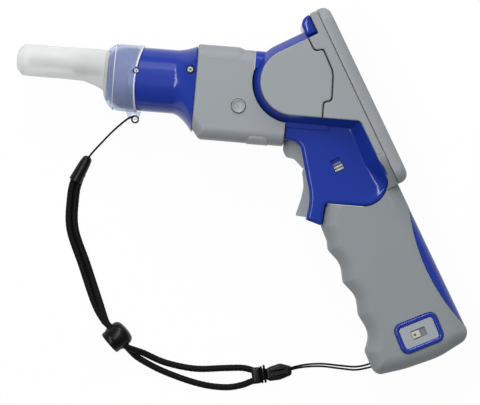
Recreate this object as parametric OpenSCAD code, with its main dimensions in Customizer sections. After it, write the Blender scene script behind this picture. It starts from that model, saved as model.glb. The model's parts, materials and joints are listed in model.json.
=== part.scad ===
// Hand-held air instrument with a pistol grip: capped nozzle, tilted screen, trigger and wrist strap.
// It lies on its right side. X runs along the barrel, nose at minus X, and Z is across the object.

/* [Overall] */
// Width across the head, over both cheeks
head_w = 62; // [56:1:74]
// Width of the front body
body_w = 46; // [44:1:52]
// Width across the two thumb panels
waist_w = 38; // [36:1:42]
// Width of the grip
grip_w = 42; // [40:1:48]
// Lean of the grip and the screen, in degrees from square to the barrel
tilt = 30; // [26:1:34]

/* [Nose] */
// Diameter of the neck barrel
neck_d = 36.4; // [34:0.2:40]
// Length of the neck from the front body to its front face
neck_len = 50.6; // [46:0.2:60]
// Height of the nozzle above the barrel axis
nozzle_up = 5.7; // [3:0.1:6.2]
// Outside diameter of the tip tube of the nozzle
nozzle_d = 6; // [5:0.1:8]
// Reach of the nozzle ahead of the neck
nozzle_len = 45; // [38:0.5:56]
// Outside diameter of the thimble of the cap
cap_d = 18.4; // [17:0.1:20]
// Free room in the cap ahead of the nozzle
cap_room = 6; // [3:0.5:12]
// Length of the skirt of the cap along the neck
skirt_len = 20; // [15:0.5:22]
// Depth of the scallop in the rear edge of the skirt
scallop = 4.2; // [2:0.2:6]
// Length of the lug under the skirt, along the barrel
lug_len = 9; // [7:0.5:12]

/* [Front body] */
// Distance from the button to the front edge of the front body
body_front = 25.2; // [23:0.2:32]
// Distance from the button to the rear edge at the foot
body_back = 27; // [25:0.5:29]
// Height above the barrel axis
body_up = 22; // [21:0.2:24]
// Depth below the barrel axis
body_down = 31.3; // [30:0.2:34]
// Round of the long outer edges
body_round = 7; // [5:0.5:9]
// Diameter of the side button
button_d = 8; // [7:0.2:10]
// Depth of the side button below the barrel axis
button_down = 11.3; // [9:0.1:13]
// Travel of the side button
button_travel = 1; // [0.6:0.1:1.2]
// Length of the tab on the underside
tab_len = 12; // [10:0.5:14]
// Distance from the button to the middle of the tab
tab_x = 12.2; // [11:0.2:13]

/* [Head] */
// Depth of the underside of the head below the barrel axis
head_floor = 18.7; // [17:0.1:21]
// Height of the sloping roof of the head, square to the screen
head_roof = 12.1; // [11:0.1:14]
// Round of the front of the head
head_round = 23.2; // [21:0.2:25]
// Run of the sloped band round the head
band_run = 4.4; // [3.6:0.1:5]
// Thickness of the cheeks
cheek_t = 2; // [1.6:0.1:2.6]
// Distance from the button to the back plane of the body
back_u = 57.2; // [56:0.2:62]
// Thickness of the screen lid
lid_t = 6.7; // [6:0.1:9]
// Reach of the screen lid above the barrel, along its face
lid_up = 20.2; // [19:0.2:24]
// Reach of the screen lid below the barrel, along its face
lid_down = 88.3; // [84:0.5:92]
// Round of the corners of the screen lid
lid_corner = 8; // [5:0.5:12]
// Height of the screen window
window_h = 58; // [48:1:66]
// Width of the screen window
window_w = 44; // [36:1:46]
// Width of the strip beside the thumb panel
strip_w = 4.5; // [4:0.1:5.5]
// Width of the open seam between cheek and rear housing
seam_gap = 0.7; // [0.4:0.1:1]

/* [Grip] */
// Distance from the button to the finger ridges of the grip
grip_front = 6; // [5:0.1:8]
// Pitch of the finger grooves
groove_pitch = 20.4; // [19:0.1:21]
// Depth of the finger grooves
groove_deep = 1.5; // [0.8:0.1:2]
// Distance from the foot of the thumb panel to the first finger ridge
first_ridge = 13.865; // [12.5:0.005:15.5]
// Distance from the toe ridge to the base of the grip
grip_end = 19.9; // [18:0.1:24]
// Reach of the toe ahead of the finger ridges
toe_reach = 6.4; // [5:0.2:8]
// Round of the long edges of the grip
grip_round = 9; // [7:0.5:10]
// Length of the blue strip in the back of the grip
back_strip_len = 74; // [70:1:80]
// Depth of the blue strip in the side view
back_strip_deep = 5.6; // [4:0.1:6.5]
// Length of the ring round the power slider
ring_len = 25.7; // [24:0.1:27]
// Width of the ring round the power slider
ring_h = 18; // [17:0.1:19]
// Travel of the power slider
power_travel = 3.6; // [2:0.1:4]
// Travel of the thumb selector
selector_travel = 2.4; // [1.5:0.1:3]
// Diameter of a battery cell
cell_d = 18.2; // [18:0.1:18.6]
// Length of a battery cell
cell_len = 65; // [64:0.1:66]

/* [Trigger] */
// Width of the trigger
trigger_w = 20; // [16:0.5:22]
// Reach of the trigger below its pin
trigger_len = 25; // [22:0.5:26]
// Pull of the trigger, in degrees
trigger_pull = 8; // [4:1:9]
// Diameter of the trigger pin
pin_d = 3; // [2.6:0.1:3.4]

/* [Strap] */
// Diameter of the thin tether cord
thin_d = 1.2; // [1:0.1:1.4]
// Diameter of each braided strand
strand_d = 3.8; // [3.4:0.1:4]
// Diameter of the barrel of the cord lock
lock_d = 15; // [14:0.5:16]
// Press of the plunger of the cord lock
lock_travel = 1.5; // [1:0.1:1.6]
// Length of the buckle
buckle_len = 15; // [13:0.5:17]

/* [Walls and clearances] */
// Wall of the body shells
wall = 2.4; // [2:0.1:2.8]
// Wall of the cap
cap_wall = 1.3; // [1:0.1:1.6]
// Gap between pieces that move past each other
fit = 0.3; // [0.2:0.05:0.4]
// Gap round fixed pieces that sit in a pocket
seat = 0.2; // [0.1:0.05:0.3]
// Radial clearance of a pin in its bore
run = 0.05; // [0.02:0.01:0.1]

/* [Hidden] */
$fn = 64;

// Colours of the materials
blue = [0.13, 0.19, 0.50];
gray = [0.58, 0.60, 0.62];
soft_gray = [0.56, 0.58, 0.59];
dark = [0.20, 0.21, 0.22];
black = [0.05, 0.05, 0.05];
steel = [0.75, 0.76, 0.78];
green = [0.10, 0.35, 0.20];
clear = [0.85, 0.87, 0.86, 0.6];

// Half widths, heights above the middle plane
head_z = head_w / 2;
body_z = body_w / 2;
waist_z = waist_w / 2;
grip_z = grip_w / 2;
tub_z = head_z - cheek_t;
trigger_z = trigger_w / 2;
slot_z = trigger_z + fit;

// Degrees in each step of an arc
arc_step = 15;

// Stations along the barrel
front_x = -body_front;
neck_x = front_x - neck_len;
neck_r = neck_d / 2;
bore_r = neck_r - 2.5;
spigot_r = neck_r - 0.7;
tip_x = neck_x - nozzle_len;
cap_x = tip_x - cap_room - cap_wall;
rim_x = neck_x + skirt_len;
flare_x = front_x - 12.4;
plug_x = rim_x + 2;
barb_x = plug_x + 4.2;
filter_x = barb_x + 7;
filter_len = 10;
head_screw_x = front_x - 3.5;
tip_screw_x = rim_x - 3.4;
pump_x = front_x + 7.2;
pump_len = 18;
pump_y = nozzle_up - 8.7;
motor_x = pump_x + pump_len;
motor_r = 11;
motor_len = 26;

// Trigger pin, screen and grip stations
pin_x = body_back + 16.5;
pin_y = -body_down - 14.2;
knuckle_r = 4.2;
strip_u = back_u - strip_w;
edge_u = strip_u - band_run + 1.2;
panel_floor = pin_y - 16.7;
rear_wall = 2.4;
tub_u = back_u - rear_wall - seat;
lid_u = back_u + seat;

// Flat geometry helpers. A corner is x, y and a radius, and a radius of 0 stays sharp.
// A fourth number is the weight of the edge that leaves it: 0 keeps that edge from being rounded over.
function xy(p) = [p[0], p[1]];
function unit(v) = v / norm(v);
function left(v) = [-v[1], v[0]];
function spin(v, a) = [v[0] * cos(a) - v[1] * sin(a), v[0] * sin(a) + v[1] * cos(a)];
function lean(u, v, r) = [u * cos(tilt) - v * sin(tilt), u * sin(tilt) + v * cos(tilt), r];
function turn(a, b) = atan2(a[0] * b[1] - a[1] * b[0], a * b);
function into(p, i) = unit(xy(p[i]) - xy(p[(i + len(p) - 1) % len(p)]));
function away(p, i) = unit(xy(p[(i + 1) % len(p)]) - xy(p[i]));
function side(p, i) = turn(into(p, i), away(p, i)) > 0 ? 1 : -1;
function weight(p, i) = is_undef(p[i][3]) ? 1 : p[i][3];
function back_one(p, i) = (i + len(p) - 1) % len(p);
function shrunk(p, i, d) = p[i][2] == 0 ? 0 : max(p[i][2] - side(p, i) * d, 0.4);
function meet(a, b, da, db) =
    let (c = a * b)
    abs(1 - c * c) < 0.0001 ? a * (da + db) / 2 : ((da - db * c) * a + (db - da * c) * b) / (1 - c * c);
function inset_at(p, i, da, db) =
    [each xy(p[i]) + meet(left(into(p, i)), left(away(p, i)), da, db), shrunk(p, i, min(da, db)), p[i][3]];
function inset(p, d) = [for (i = [0:len(p) - 1]) inset_at(p, i, d, d)];
function drawn_in(p, d) =
    [for (i = [0:len(p) - 1]) inset_at(p, i, d * weight(p, back_one(p, i)), d * weight(p, i))];
function corner(p, i) =
    let (
        a = into(p, i),
        w = turn(a, away(p, i)),
        r = p[i][2],
        s = w > 0 ? 1 : -1,
        start = xy(p[i]) - a * r * tan(abs(w) / 2),
        middle = start + s * r * left(a),
        n = max(1, floor(abs(w) / arc_step + 0.7))
    )
    r == 0 ? [xy(p[i])] : [for (k = [0:n]) middle + spin(start - middle, w * k / n)];
function outline(p) = [for (i = [0:len(p) - 1]) each corner(p, i)];
function ring(p, d, z) = [for (q = outline(drawn_in(p, d))) [q[0], q[1], z]];
function domed(p, z0, z1, r, n = 4) = concat(
    [ring(p, 0, z0)],
    [for (k = [0:n]) let (a = 90 * k / n) ring(p, r * (1 - cos(a)), z1 - r + r * sin(a))]
);
function box2(x0, y0, x1, y1, r) = [[x0, y0, r], [x1, y0, r], [x1, y1, r], [x0, y1, r]];
function along_x(p, x) = [for (q = outline(p)) [x, q[0], q[1]]];

// Triangles of a level outline, cut off one ear at a time. A ring that isn't level counts as one convex face.
function bend(a, b, c) = (b[0] - a[0]) * (c[1] - a[1]) - (b[1] - a[1]) * (c[0] - a[0]);
function covers(a, b, c, p) = bend(a, b, p) >= 0 && bend(b, c, p) >= 0 && bend(c, a, p) >= 0;
function is_ear(q, f) =
    bend(q[f[0]], q[f[1]], q[f[2]]) > 0.000001
        && len([for (p = q) if (p != q[f[0]] && p != q[f[1]] && p != q[f[2]]
            && covers(q[f[0]], q[f[1]], q[f[2]], p)) 1]) == 0;
function ears(q, rest, i, done) =
    let (n = len(rest), j = i % n, f = [rest[(j + n - 1) % n], rest[j], rest[(j + 1) % n]])
    n == 3 || i > 6 * len(q) ? concat(done, [rest])
        : is_ear(q, f) ? ears(q, [for (k = [0:n - 1]) if (k != j) rest[k]], i + 1, concat(done, [f]))
        : ears(q, rest, i + 1, done);
function crown(q) =
    let (all = [for (j = [0:len(q) - 1]) j])
    q[0][2] == q[1][2] && q[1][2] == q[2][2] ? ears(q, all, 0, []) : [all];
function raised(faces, n) = [for (f = faces) [for (j = f) j + n]];
function flipped(faces) = [for (f = faces) [for (j = [len(f) - 1:-1:0]) f[j]]];

// Closed solid through rings of the same count, each seen anticlockwise from the last one
module loft(rings) {
    n = len(rings[0]);
    m = len(rings);
    polyhedron(
        points = [for (r = rings) each r],
        faces = concat(
            crown(rings[0]),
            [for (i = [0:m - 2]) for (j = [0:n - 1]) let (k = (j + 1) % n)
                each [[i * n + j, (i + 1) * n + j, (i + 1) * n + k], [i * n + j, (i + 1) * n + k, i * n + k]]],
            raised(flipped(crown(rings[m - 1])), (m - 1) * n)
        )
    );
}

// Hollow half shell: rings of the outside and of the inside, each from the rim to the crown
module bowl(outer, inner) {
    n = len(outer[0]);
    m = len(outer);
    h = len(inner);
    o = m * n;
    polyhedron(
        points = concat([for (r = outer) each r], [for (r = inner) each r]),
        faces = concat(
            [for (i = [0:m - 2]) for (j = [0:n - 1]) let (k = (j + 1) % n)
                each [[i * n + j, (i + 1) * n + j, (i + 1) * n + k], [i * n + j, (i + 1) * n + k, i * n + k]]],
            raised(flipped(crown(outer[m - 1])), (m - 1) * n),
            [for (i = [0:h - 2]) for (j = [0:n - 1]) let (k = (j + 1) % n, a = o + i * n, b = a + n)
                each [[a + j, b + k, b + j], [a + j, a + k, b + k]]],
            raised(crown(inner[h - 1]), o + (h - 1) * n),
            [for (j = [0:n - 1]) let (k = (j + 1) % n) each [[j, k, o + k], [j, o + k, o + j]]]
        )
    );
}

// Upright prism from z0 to z1 whose upper edge is rounded
module pillow(p, z0, z1, r, n = 4) {
    loft(domed(p, z0, z1, r, n));
}

// Half shell over the middle plane, of wall t, whose upper edge is rounded
module half_shell(p, z1, r, t, n = 4) {
    bowl(domed(p, 0, z1, r, n), domed(inset(p, t), 0, z1 - t, max(r - t, 0.8), n));
}

// Exact prism of an outline
module prism(p, z0, z1) {
    translate([0, 0, z0])
        linear_extrude(z1 - z0)
            polygon(outline(p));
}

// Shaft along X, from station a to station b
module shaft(r, a, b, y = 0) {
    translate([a, y, 0])
        rotate([0, 90, 0])
            cylinder(r = r, h = b - a);
}

// Shaft along Z
module post(r, x, y, z0, z1) {
    translate([x, y, z0])
        cylinder(r = r, h = z1 - z0);
}

// Frame of the grip and screen: u away from the user's side, v up along the screen
module leaning() {
    rotate([0, 0, tilt])
        children();
}

// From the frame of the barrel to the frame of the part, lying on its right side
module placed() {
    translate([-mid_x, -mid_y, head_z])
        children();
}

// Mirror image for the right side
module right_side() {
    mirror([0, 0, 1])
        children();
}

// Points of a smooth line through hand-chosen points
function bead(p, i) = p[max(0, min(len(p) - 1, i))];
function blend4(a, b, c, d, t) =
    0.5 * (2 * b + (c - a) * t + (2 * a - 5 * b + 4 * c - d) * t * t + (3 * b - a - 3 * c + d) * t * t * t);
function smooth(p, k) = concat(
    [for (i = [0:len(p) - 2]) for (j = [0:k - 1])
        blend4(bead(p, i - 1), p[i], p[i + 1], bead(p, i + 2), j / k)],
    [p[len(p) - 1]]
);
function heading(p, i) = unit(bead(p, i + 1) - bead(p, i - 1));
function hoop(c, t, r, n) =
    let (s = unit(cross(t, [0, 0, 1])), w = cross(s, t))
    [for (j = [0:n - 1]) c + r * (cos(360 * j / n) * w + sin(360 * j / n) * s)];

// Round tube along a line of points
module tube(p, d, n) {
    loft([for (i = [0:len(p) - 1]) hoop(p[i], heading(p, i), d / 2, n)]);
}

// Side outlines in the barrel frame
function roof_meets(floor_y, roof_v) = (floor_y * cos(tilt) - roof_v) / sin(tilt);
function u_meets(u, y) = (u - y * sin(tilt)) / cos(tilt);
head_mid = [roof_meets(-head_floor, head_roof) + head_round / tan(tilt / 2), head_round - head_floor];
head_line = [
    [roof_meets(-head_floor, head_roof), -head_floor, head_round],
    [u_meets(tub_u, -head_floor), -head_floor, 0, 0],
    lean(tub_u, head_roof, 0)
];
strip_line = [
    [u_meets(strip_u - band_run, -head_floor + band_run + 1), -head_floor + band_run + 1, 0],
    concat(lean(strip_u - band_run, -lid_down, 0), 0),
    concat(lean(tub_u - 0.1, -lid_down, 0), 0),
    [u_meets(tub_u - 0.1, -head_floor + band_run + 1), -head_floor + band_run + 1, 0, 0]
];
panel_line = [
    [body_back + fit, -body_down + 3, 0],
    [body_back + 9.2, -body_down + 3, 7],
    [pin_x + 1.4, pin_y - 14.5, 30],
    [pin_x - 0.3, pin_y - 26.8, 1],
    [pin_x + 8.8, pin_y - 29.5, 1],
    [pin_x + 9.8, panel_floor, 2.5],
    [u_meets(edge_u, panel_floor), panel_floor, 6.5, 0],
    [u_meets(edge_u, -head_floor + 1.2), -head_floor + 1.2, 0, 0],
    [body_back + fit, -head_floor + 1.2, 0, 0]
];
seam_x = body_back + 20.7;
seam_line = [
    [seam_x, -head_floor - 3, 0],
    [seam_x, 13.3 - head_floor, 2],
    [seam_x + 4.5, 14.1 - head_floor, 2.5],
    [seam_x + 4.1, 30.2 - head_floor, 14],
    [seam_x - 2.5, 42.7 - head_floor, 1.5],
    [seam_x - 7.4, 41.6 - head_floor, 2.5],
    lean(back_u - 11, head_roof + 4, 0)
];
foot_v = (pin_x + 9) * sin(tilt) - (pin_y - 30) * cos(tilt);
ridge_v = foot_v + first_ridge;
toe_v = ridge_v + 3 * groove_pitch;
base_v = toe_v + grip_end;
valley_u = grip_front + groove_deep * 1.7;
grip_line = [
    [pin_x + 9, pin_y - 30, 1],
    lean(grip_front + 1.2, -ridge_v + 5, 6),
    lean(grip_front - 0.6, -ridge_v, 4),
    lean(valley_u, -ridge_v - groove_pitch / 2, 12),
    lean(grip_front - 0.8, -ridge_v - groove_pitch, 4),
    lean(valley_u, -ridge_v - groove_pitch * 1.5, 12),
    lean(grip_front - 0.8, -ridge_v - groove_pitch * 2, 4),
    lean(grip_front + 0.4, -ridge_v - groove_pitch * 2.62, 12),
    lean(grip_front - toe_reach, -toe_v, 4),
    lean(grip_front - toe_reach - 0.6, -base_v + 5.6, 5),
    lean(grip_front + 10, -base_v + 1.8, 40),
    lean(back_u - 21, -base_v - 0.4, 40),
    lean(back_u, -base_v + 2.2, 7),
    [u_meets(back_u, panel_floor - seat), panel_floor - seat, 0, 0],
    [pin_x + 10, panel_floor - seat, 2.3]
];
horn_x = u_meets(edge_u + seat, panel_floor - seat);
horn_line = [
    [horn_x - 14, panel_floor - seat - 2, 0],
    [u_meets(back_u, panel_floor) + 2, panel_floor - seat - 2, 0],
    lean(back_u + 1, -lid_down - seat, 0),
    lean(edge_u + seat, -lid_down - seat, 0),
    [horn_x, panel_floor - seat, 6.5 + seat],
    [horn_x - 14, panel_floor - seat - 0.3, 0]
];
collar_x = body_back - 19.6;
head_gap_r = head_round + seat;
arc_low = 360 - acos((body_back - head_mid[0]) / head_gap_r);
arc_high = acos((collar_x - head_mid[0]) / head_gap_r);
body_line = concat(
    [[front_x - 0.4, -body_down + 5.6, 1]],
    [[front_x + 3.8, -body_down, 3]],
    [[body_back, -body_down - 0.2, 1, 0]],
    [for (i = [0:9]) let (a = arc_low + (arc_high - arc_low) * i / 9)
        [head_mid[0] + head_gap_r * cos(a), head_mid[1] + head_gap_r * sin(a), 0, 0]],
    [[collar_x, body_up - 1.2, 0.6]],
    [[1.2, body_up - 1.2, 0.6]],
    [[-1.6, body_up, 1]],
    [[front_x, body_up, 1.2]]
);
collar_line = [
    [collar_x + seat, head_mid[1] + 6.5, 0, 0],
    [head_mid[0] - 20, head_mid[1] + 6.5, 0, 0],
    [head_mid[0] - 15.4, body_up - 1.2, 0],
    [collar_x + seat, body_up - 1.2, 0, 0]
];
grip_points = outline(grip_line);
lid_line = box2(-lid_down, -head_z, lid_up, head_z, lid_corner);

// Middle of the outline, so that the part stands over the origin
lid_edge = 2.2;
lid_top = lean(lid_u + lid_t - lid_edge, lid_up - lid_edge, 0)[1] + lid_edge;
mid_x = (cap_x + max([for (q = grip_points) q[0]])) / 2;
mid_y = (lid_top + min([for (q = grip_points) q[1]])) / 2;

// Neck

function neck_section(t) =
    let (e = pow(t, 1.7), up = neck_r + (body_up - 1.2 - neck_r) * e, low = neck_r + (body_down - 3.4 - neck_r) * e)
    let (wide = neck_r + (body_z - 1.4 - neck_r) * e, r = neck_r + (9 - neck_r) * e)
    box2(-low, -wide, up, wide, min(r, (up + low) / 2 - 0.05, wide - 0.05));

function round2(r) = box2(-r, -r, r, r, r - 0.05);

module neck_skin() {
    flare = front_x - 0.5 - flare_x;
    loft(concat(
        [along_x(round2(spigot_r - 1.1), neck_x + 6.5)],
        [along_x(round2(spigot_r), neck_x + 9)],
        [along_x(round2(spigot_r), rim_x + fit)],
        [along_x(round2(neck_r), rim_x + fit)],
        [for (t = [0:0.2:1]) along_x(neck_section(t), flare_x + t * flare)]
    ));
}

module neck() {
    color(blue)
        difference() {
            union() {
                neck_skin();
                loft([
                    along_x(inset(neck_section(1), 1.6), front_x - 1),
                    along_x(inset(neck_section(1), 1.6), front_x + 5)
                ]);
            }
            shaft(bore_r, neck_x - 1, front_x + 6);
            screw_holes();
            shaft_ring(neck_r + 1, spigot_r - 1, rim_x - 9, rim_x - 7.2);
        }
}

// Flat ring round the barrel axis
module shaft_ring(r_out, r_in, a, b) {
    difference() {
        shaft(r_out, a, b);
        shaft(r_in, a - 1, b + 1);
    }
}

screw_r = 1.25;
tip_screw_z = sqrt(spigot_r * spigot_r - 17.6);
module screw_holes() {
    for (s = [0, 1])
        mirror([0, 0, s]) {
            post(screw_r + run, tip_screw_x, 4.2, 0, neck_r + 3);
            post(1.7, tip_screw_x, 4.2, tip_screw_z - 1.4, neck_r + 3);
            post(screw_r + run, head_screw_x, 7.2, 0, body_z);
            post(2.5, head_screw_x, 7.2, neck_r + 0.6, body_z + 3);
        }
}

module neck_screws() {
    color(steel)
        for (s = [0, 1])
            mirror([0, 0, s]) {
                post(screw_r, tip_screw_x, 4.2, bore_r - 5, tip_screw_z - 1.3);
                post(1.6, tip_screw_x, 4.2, tip_screw_z - 1.4, tip_screw_z - 0.4);
                post(screw_r, head_screw_x, 7.2, bore_r - 4, neck_r + 0.7);
                post(1.7, head_screw_x, 7.2, neck_r + 0.6, neck_r + 1.8);
            }
}

module cap_seal() {
    color(black)
        translate([rim_x - 8.1, 0, 0])
            rotate([0, 90, 0])
                rotate_extrude()
                    translate([spigot_r - 0.4, 0])
                        circle(r = 0.55, $fn = 16);
}

// Nozzle, its holder and the air path

shank_r = 4;
module nozzle_holder() {
    color(blue)
        difference() {
            rotate([0, 90, 0])
                rotate_extrude()
                    polygon([
                        [0, neck_x], [10.2, neck_x], [13.2, neck_x + 1.5], [14.9, neck_x + 3.7],
                        [bore_r - seat, neck_x + 6.2], [bore_r - seat, plug_x], [0, plug_x]
                    ]);
            shaft(shank_r + seat, neck_x - 1, plug_x + 1, nozzle_up);
            for (s = [0, 1])
                mirror([0, 0, s])
                    post(screw_r + run, tip_screw_x, 4.2, bore_r - 6, bore_r + 1);
        }
}

tip_r = nozzle_d / 2;
air_r = 1.4;
barb_r = 2.2;
module nozzle() {
    color(gray)
        translate([0, nozzle_up, 0])
            difference() {
                union() {
                    shaft(tip_r, tip_x, neck_x - 19);
                    shaft(tip_r + 2, neck_x - 20, neck_x - 17);
                    shaft(tip_r + 3, neck_x - 17, neck_x - 1.5);
                    shaft(tip_r + 3.6, neck_x - 1.5, neck_x);
                    shaft(shank_r, neck_x, plug_x);
                    shaft(barb_r, plug_x, barb_x);
                }
                shaft(air_r, tip_x - 1, barb_x + 1);
            }
}

module filter() {
    color(clear)
        translate([0, nozzle_up, 0])
            difference() {
                union() {
                    shaft(barb_r, filter_x - 5.6, filter_x);
                    shaft(8.6, filter_x, filter_x + filter_len);
                    shaft(barb_r, filter_x + filter_len, filter_x + filter_len + 3);
                }
                shaft(air_r, filter_x - 6, filter_x + 3);
                shaft(7, filter_x + 2, filter_x + filter_len - 2);
                shaft(air_r, filter_x + filter_len - 3, filter_x + filter_len + 4);
            }
}

module hoses() {
    color(clear)
        translate([0, nozzle_up, 0]) {
            difference() {
                shaft(3.3, plug_x + seat, filter_x - seat);
                shaft(barb_r + run, plug_x - 1, filter_x + 1);
            }
            difference() {
                shaft(3.3, filter_x + filter_len + seat, pump_x - seat);
                shaft(barb_r + run, filter_x + filter_len - 1, pump_x + 1);
            }
        }
}

module bulkhead() {
    color(dark)
        difference() {
            union() {
                shaft_ring(bore_r - seat, bore_r - 2.6, head_screw_x - 3.5, pump_x - 3);
                shaft(bore_r - seat, pump_x - 3, pump_x);
            }
            shaft(3.3 + fit, pump_x - 9, pump_x + 1, nozzle_up);
            shaft(barb_r + fit, pump_x - 4, pump_x + 1, -6);
            for (s = [0, 1])
                mirror([0, 0, s])
                    post(screw_r + run, head_screw_x, 7.2, bore_r - 5, bore_r + 1);
        }
}

pump_z = 11;
module pump_head() {
    color(dark)
        difference() {
            union() {
                translate([pump_x, pump_y - 11, -pump_z])
                    cube([pump_len, 22, 2 * pump_z]);
                shaft(barb_r, filter_x + filter_len + 4, pump_x + 1, nozzle_up);
                shaft(barb_r, pump_x - 2.6, pump_x + 1, -6);
            }
            shaft(air_r, filter_x + filter_len + 3, pump_x + 6, nozzle_up);
            shaft(air_r, pump_x - 4, pump_x + 6, -6);
        }
}

module pump_motor() {
    color(steel)
        difference() {
            union() {
                shaft(motor_r, motor_x, motor_x + motor_len, pump_y);
                shaft(3, motor_x + motor_len, motor_x + motor_len + 2, pump_y);
            }
            shaft(1, motor_x + motor_len + 0.5, motor_x + motor_len + 3, pump_y);
        }
}

// Cap

skirt_r = spigot_r + fit + cap_wall;
thimble_r = cap_d / 2;

// Rings of the cap from the rim to the tip: station, height of the centre, radius
cap_out = [
    [rim_x, 0, skirt_r], [neck_x + 8.4, 0, skirt_r], [neck_x + 5.2, 0.02, skirt_r - 0.6],
    [neck_x + 1.6, 0.07, skirt_r - 2.6], [neck_x - 0.8, 0.21, skirt_r - 5.4], [neck_x - 1.6, 0.42, thimble_r + 2.7],
    [neck_x - 2.2, 0.6, thimble_r + 2.2], [neck_x - 6, 0.79, thimble_r + 1.4], [neck_x - 11, 0.93, thimble_r + 0.5],
    [neck_x - 16.5, 1, thimble_r], [cap_x + 5, 1, thimble_r - 0.3], [cap_x + 2.4, 1, thimble_r - 1.3],
    [cap_x + 0.7, 1, thimble_r - 3.4], [cap_x, 1, thimble_r - 6]
];
cap_in = [
    [rim_x, 0, skirt_r], [neck_x + 8.4, 0, skirt_r], [neck_x + 5.6, 0.02, skirt_r - 0.6],
    [neck_x + 2.6, 0.05, skirt_r - 2.4], [neck_x + 0.5, 0.21, skirt_r - 4.9], [neck_x - 0.3, 0.25, thimble_r + 4],
    [neck_x - 1.4, 0.6, thimble_r + 2.2], [neck_x - 6, 0.79, thimble_r + 1.4], [neck_x - 11, 0.93, thimble_r + 0.5],
    [neck_x - 16.5, 1, thimble_r], [cap_x + 5.2, 1, thimble_r - 0.3], [cap_x + 2.9, 1, thimble_r - 1.5],
    [cap_x + cap_wall, 1, thimble_r - 5]
];
function cap_ring(q, d) =
    [for (a = [0:12:348]) [q[0], q[1] * nozzle_up + (q[2] - d) * cos(a), -(q[2] - d) * sin(a)]];

lug_x = rim_x - 3.6;
lug_y = -neck_r - 3.3;
module nose_cap() {
    color(clear)
        difference() {
            union() {
                bowl([for (q = cap_out) cap_ring(q, 0)], [for (q = cap_in) cap_ring(q, cap_wall)]);
                translate([0, 0, -2.4])
                    prism([
                        [lug_x - lug_len / 2, -neck_r - 5.3, 3],
                        [lug_x + lug_len / 2, -neck_r - 5.3, 3],
                        [lug_x + lug_len / 2, -skirt_r + cap_wall / 2, 0],
                        [lug_x - lug_len / 2, -skirt_r + cap_wall / 2, 0]
                    ], 0, 4.8);
            }
            shaft(skirt_r - cap_wall / 2, rim_x, rim_x + lug_len);
            post(1.5, lug_x, lug_y, -4, 4);
            for (s = [0, 1])
                mirror([0, 0, s])
                    translate([rim_x + 12 - scallop, 0, neck_r + fit - 4])
                        cylinder(r = 12, h = 12);
        }
}

// Front body

pump_rib = pump_z + seat;
front_bosses = [[front_x + 11.5, body_up - 9.6], [front_x + 11.5, -body_down + 10], [body_back - 4.6, -body_down + 6]];
module front_half(lefty) {
    inner = body_z - wall;
    difference() {
        union() {
            difference() {
                half_shell(body_line, body_z, body_round, wall);
                loft([
                    along_x(inset(neck_section(1), 1.3), front_x - 2),
                    along_x(inset(neck_section(1), 1.3), front_x + 5.3)
                ]);
            }
            for (x = [pump_x + 1.5, pump_x + 5])
                translate([x, pump_y - 12, pump_rib])
                    cube([2, 24, inner - pump_rib + 0.5]);
            for (b = front_bosses)
                post(3, b[0], b[1], 0, inner + 0.5);
            translate([tab_x - 2, -body_down + 7, 6 + seat])
                cube([4, 4, inner - 6]);
        }
        shaft(motor_r + seat, 0, body_back + 1, pump_y);
        translate([tab_x - tab_len / 2 - seat, -body_down - 2, -1])
            cube([tab_len + 2 * seat, 5.9, body_z + 2]);
        for (b = front_bosses)
            boss_bore(b, lefty, body_z);
        if (lefty)
            post(button_d / 2 + fit, 0, -button_down, inner - 1, body_z + 1);
    }
    if (lefty)
        for (q = [[-8, 6], [2.4, 7]])
            post(1.6, q[0], q[1] - button_down, board_z + 1.6, inner + 0.5);
}

// Bore of a case screw: pilot on the left half, clearance and a sunk head on the right half
case_r = 1.1;
module boss_bore(b, lefty, z) {
    if (lefty)
        post(case_r + run, b[0], b[1], -1, 9);
    else {
        post(case_r + 0.15, b[0], b[1], -1, z + 1);
        post(2.4, b[0], b[1], z - 3.4, z + 1);
    }
}

module front_left() {
    color(gray)
        front_half(true);
}

module front_right() {
    color(gray)
        right_side()
            front_half(false);
}

board_z = 13.4;
module side_button() {
    inner = body_z - wall;
    color(gray)
        translate([0, -button_down, 0]) {
            difference() {
                union() {
                    post(button_d / 2, 0, 0, inner - fit - 1.2, body_z + 1.3);
                    post(button_d / 2 + 1.3, 0, 0, inner - fit - 1.2, inner - fit);
                }
                translate([0, 0, body_z + 1.3 + 20])
                    sphere(r = 20.35, $fn = 128);
            }
        }
}

module control_board() {
    inner = body_z - wall;
    color(green)
        union() {
            translate([-10.5, -button_down - 5, board_z])
                cube([15, 14, 1.6]);
            translate([-3, -button_down - 3, board_z + 1.6])
                cube([6, 6, inner - fit - 1.2 - button_travel - 0.1 - board_z - 1.6]);
        }
}

tab_z = body_z - 0.5;
module port_cover() {
    color(soft_gray)
        difference() {
            union() {
                intersection() {
                    translate([tab_x - tab_len / 2, -body_down - 0.6, -tab_z])
                        cube([tab_len, 4.3, 2 * tab_z]);
                    rotate([0, 90, 0])
                        translate([0, 0, tab_x - tab_len])
                            linear_extrude(2 * tab_len)
                                polygon(outline(box2(-tab_z, -body_down - 0.6, tab_z, -body_down + 3.7, 2)));
                }
                translate([tab_x - 4, -body_down + 3.4, -3])
                    cube([8, 2.2, 6]);
            }
        }
}

// The socket is as deep as the room between the plug and the round wall behind it
socket_roof = head_mid[1] - sqrt(pow(head_gap_r + wall + 0.4, 2) - pow(head_mid[0] - tab_x - 6, 2));
module port_socket() {
    color(steel)
        difference() {
            translate([tab_x - 6, -body_down + 6, -6])
                cube([12, socket_roof + body_down - 6, 12]);
            translate([tab_x - 4.6, -body_down + 5, -1.7])
                cube([9.2, socket_roof + body_down - 6.2, 3.4]);
        }
}

// Main body

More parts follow.
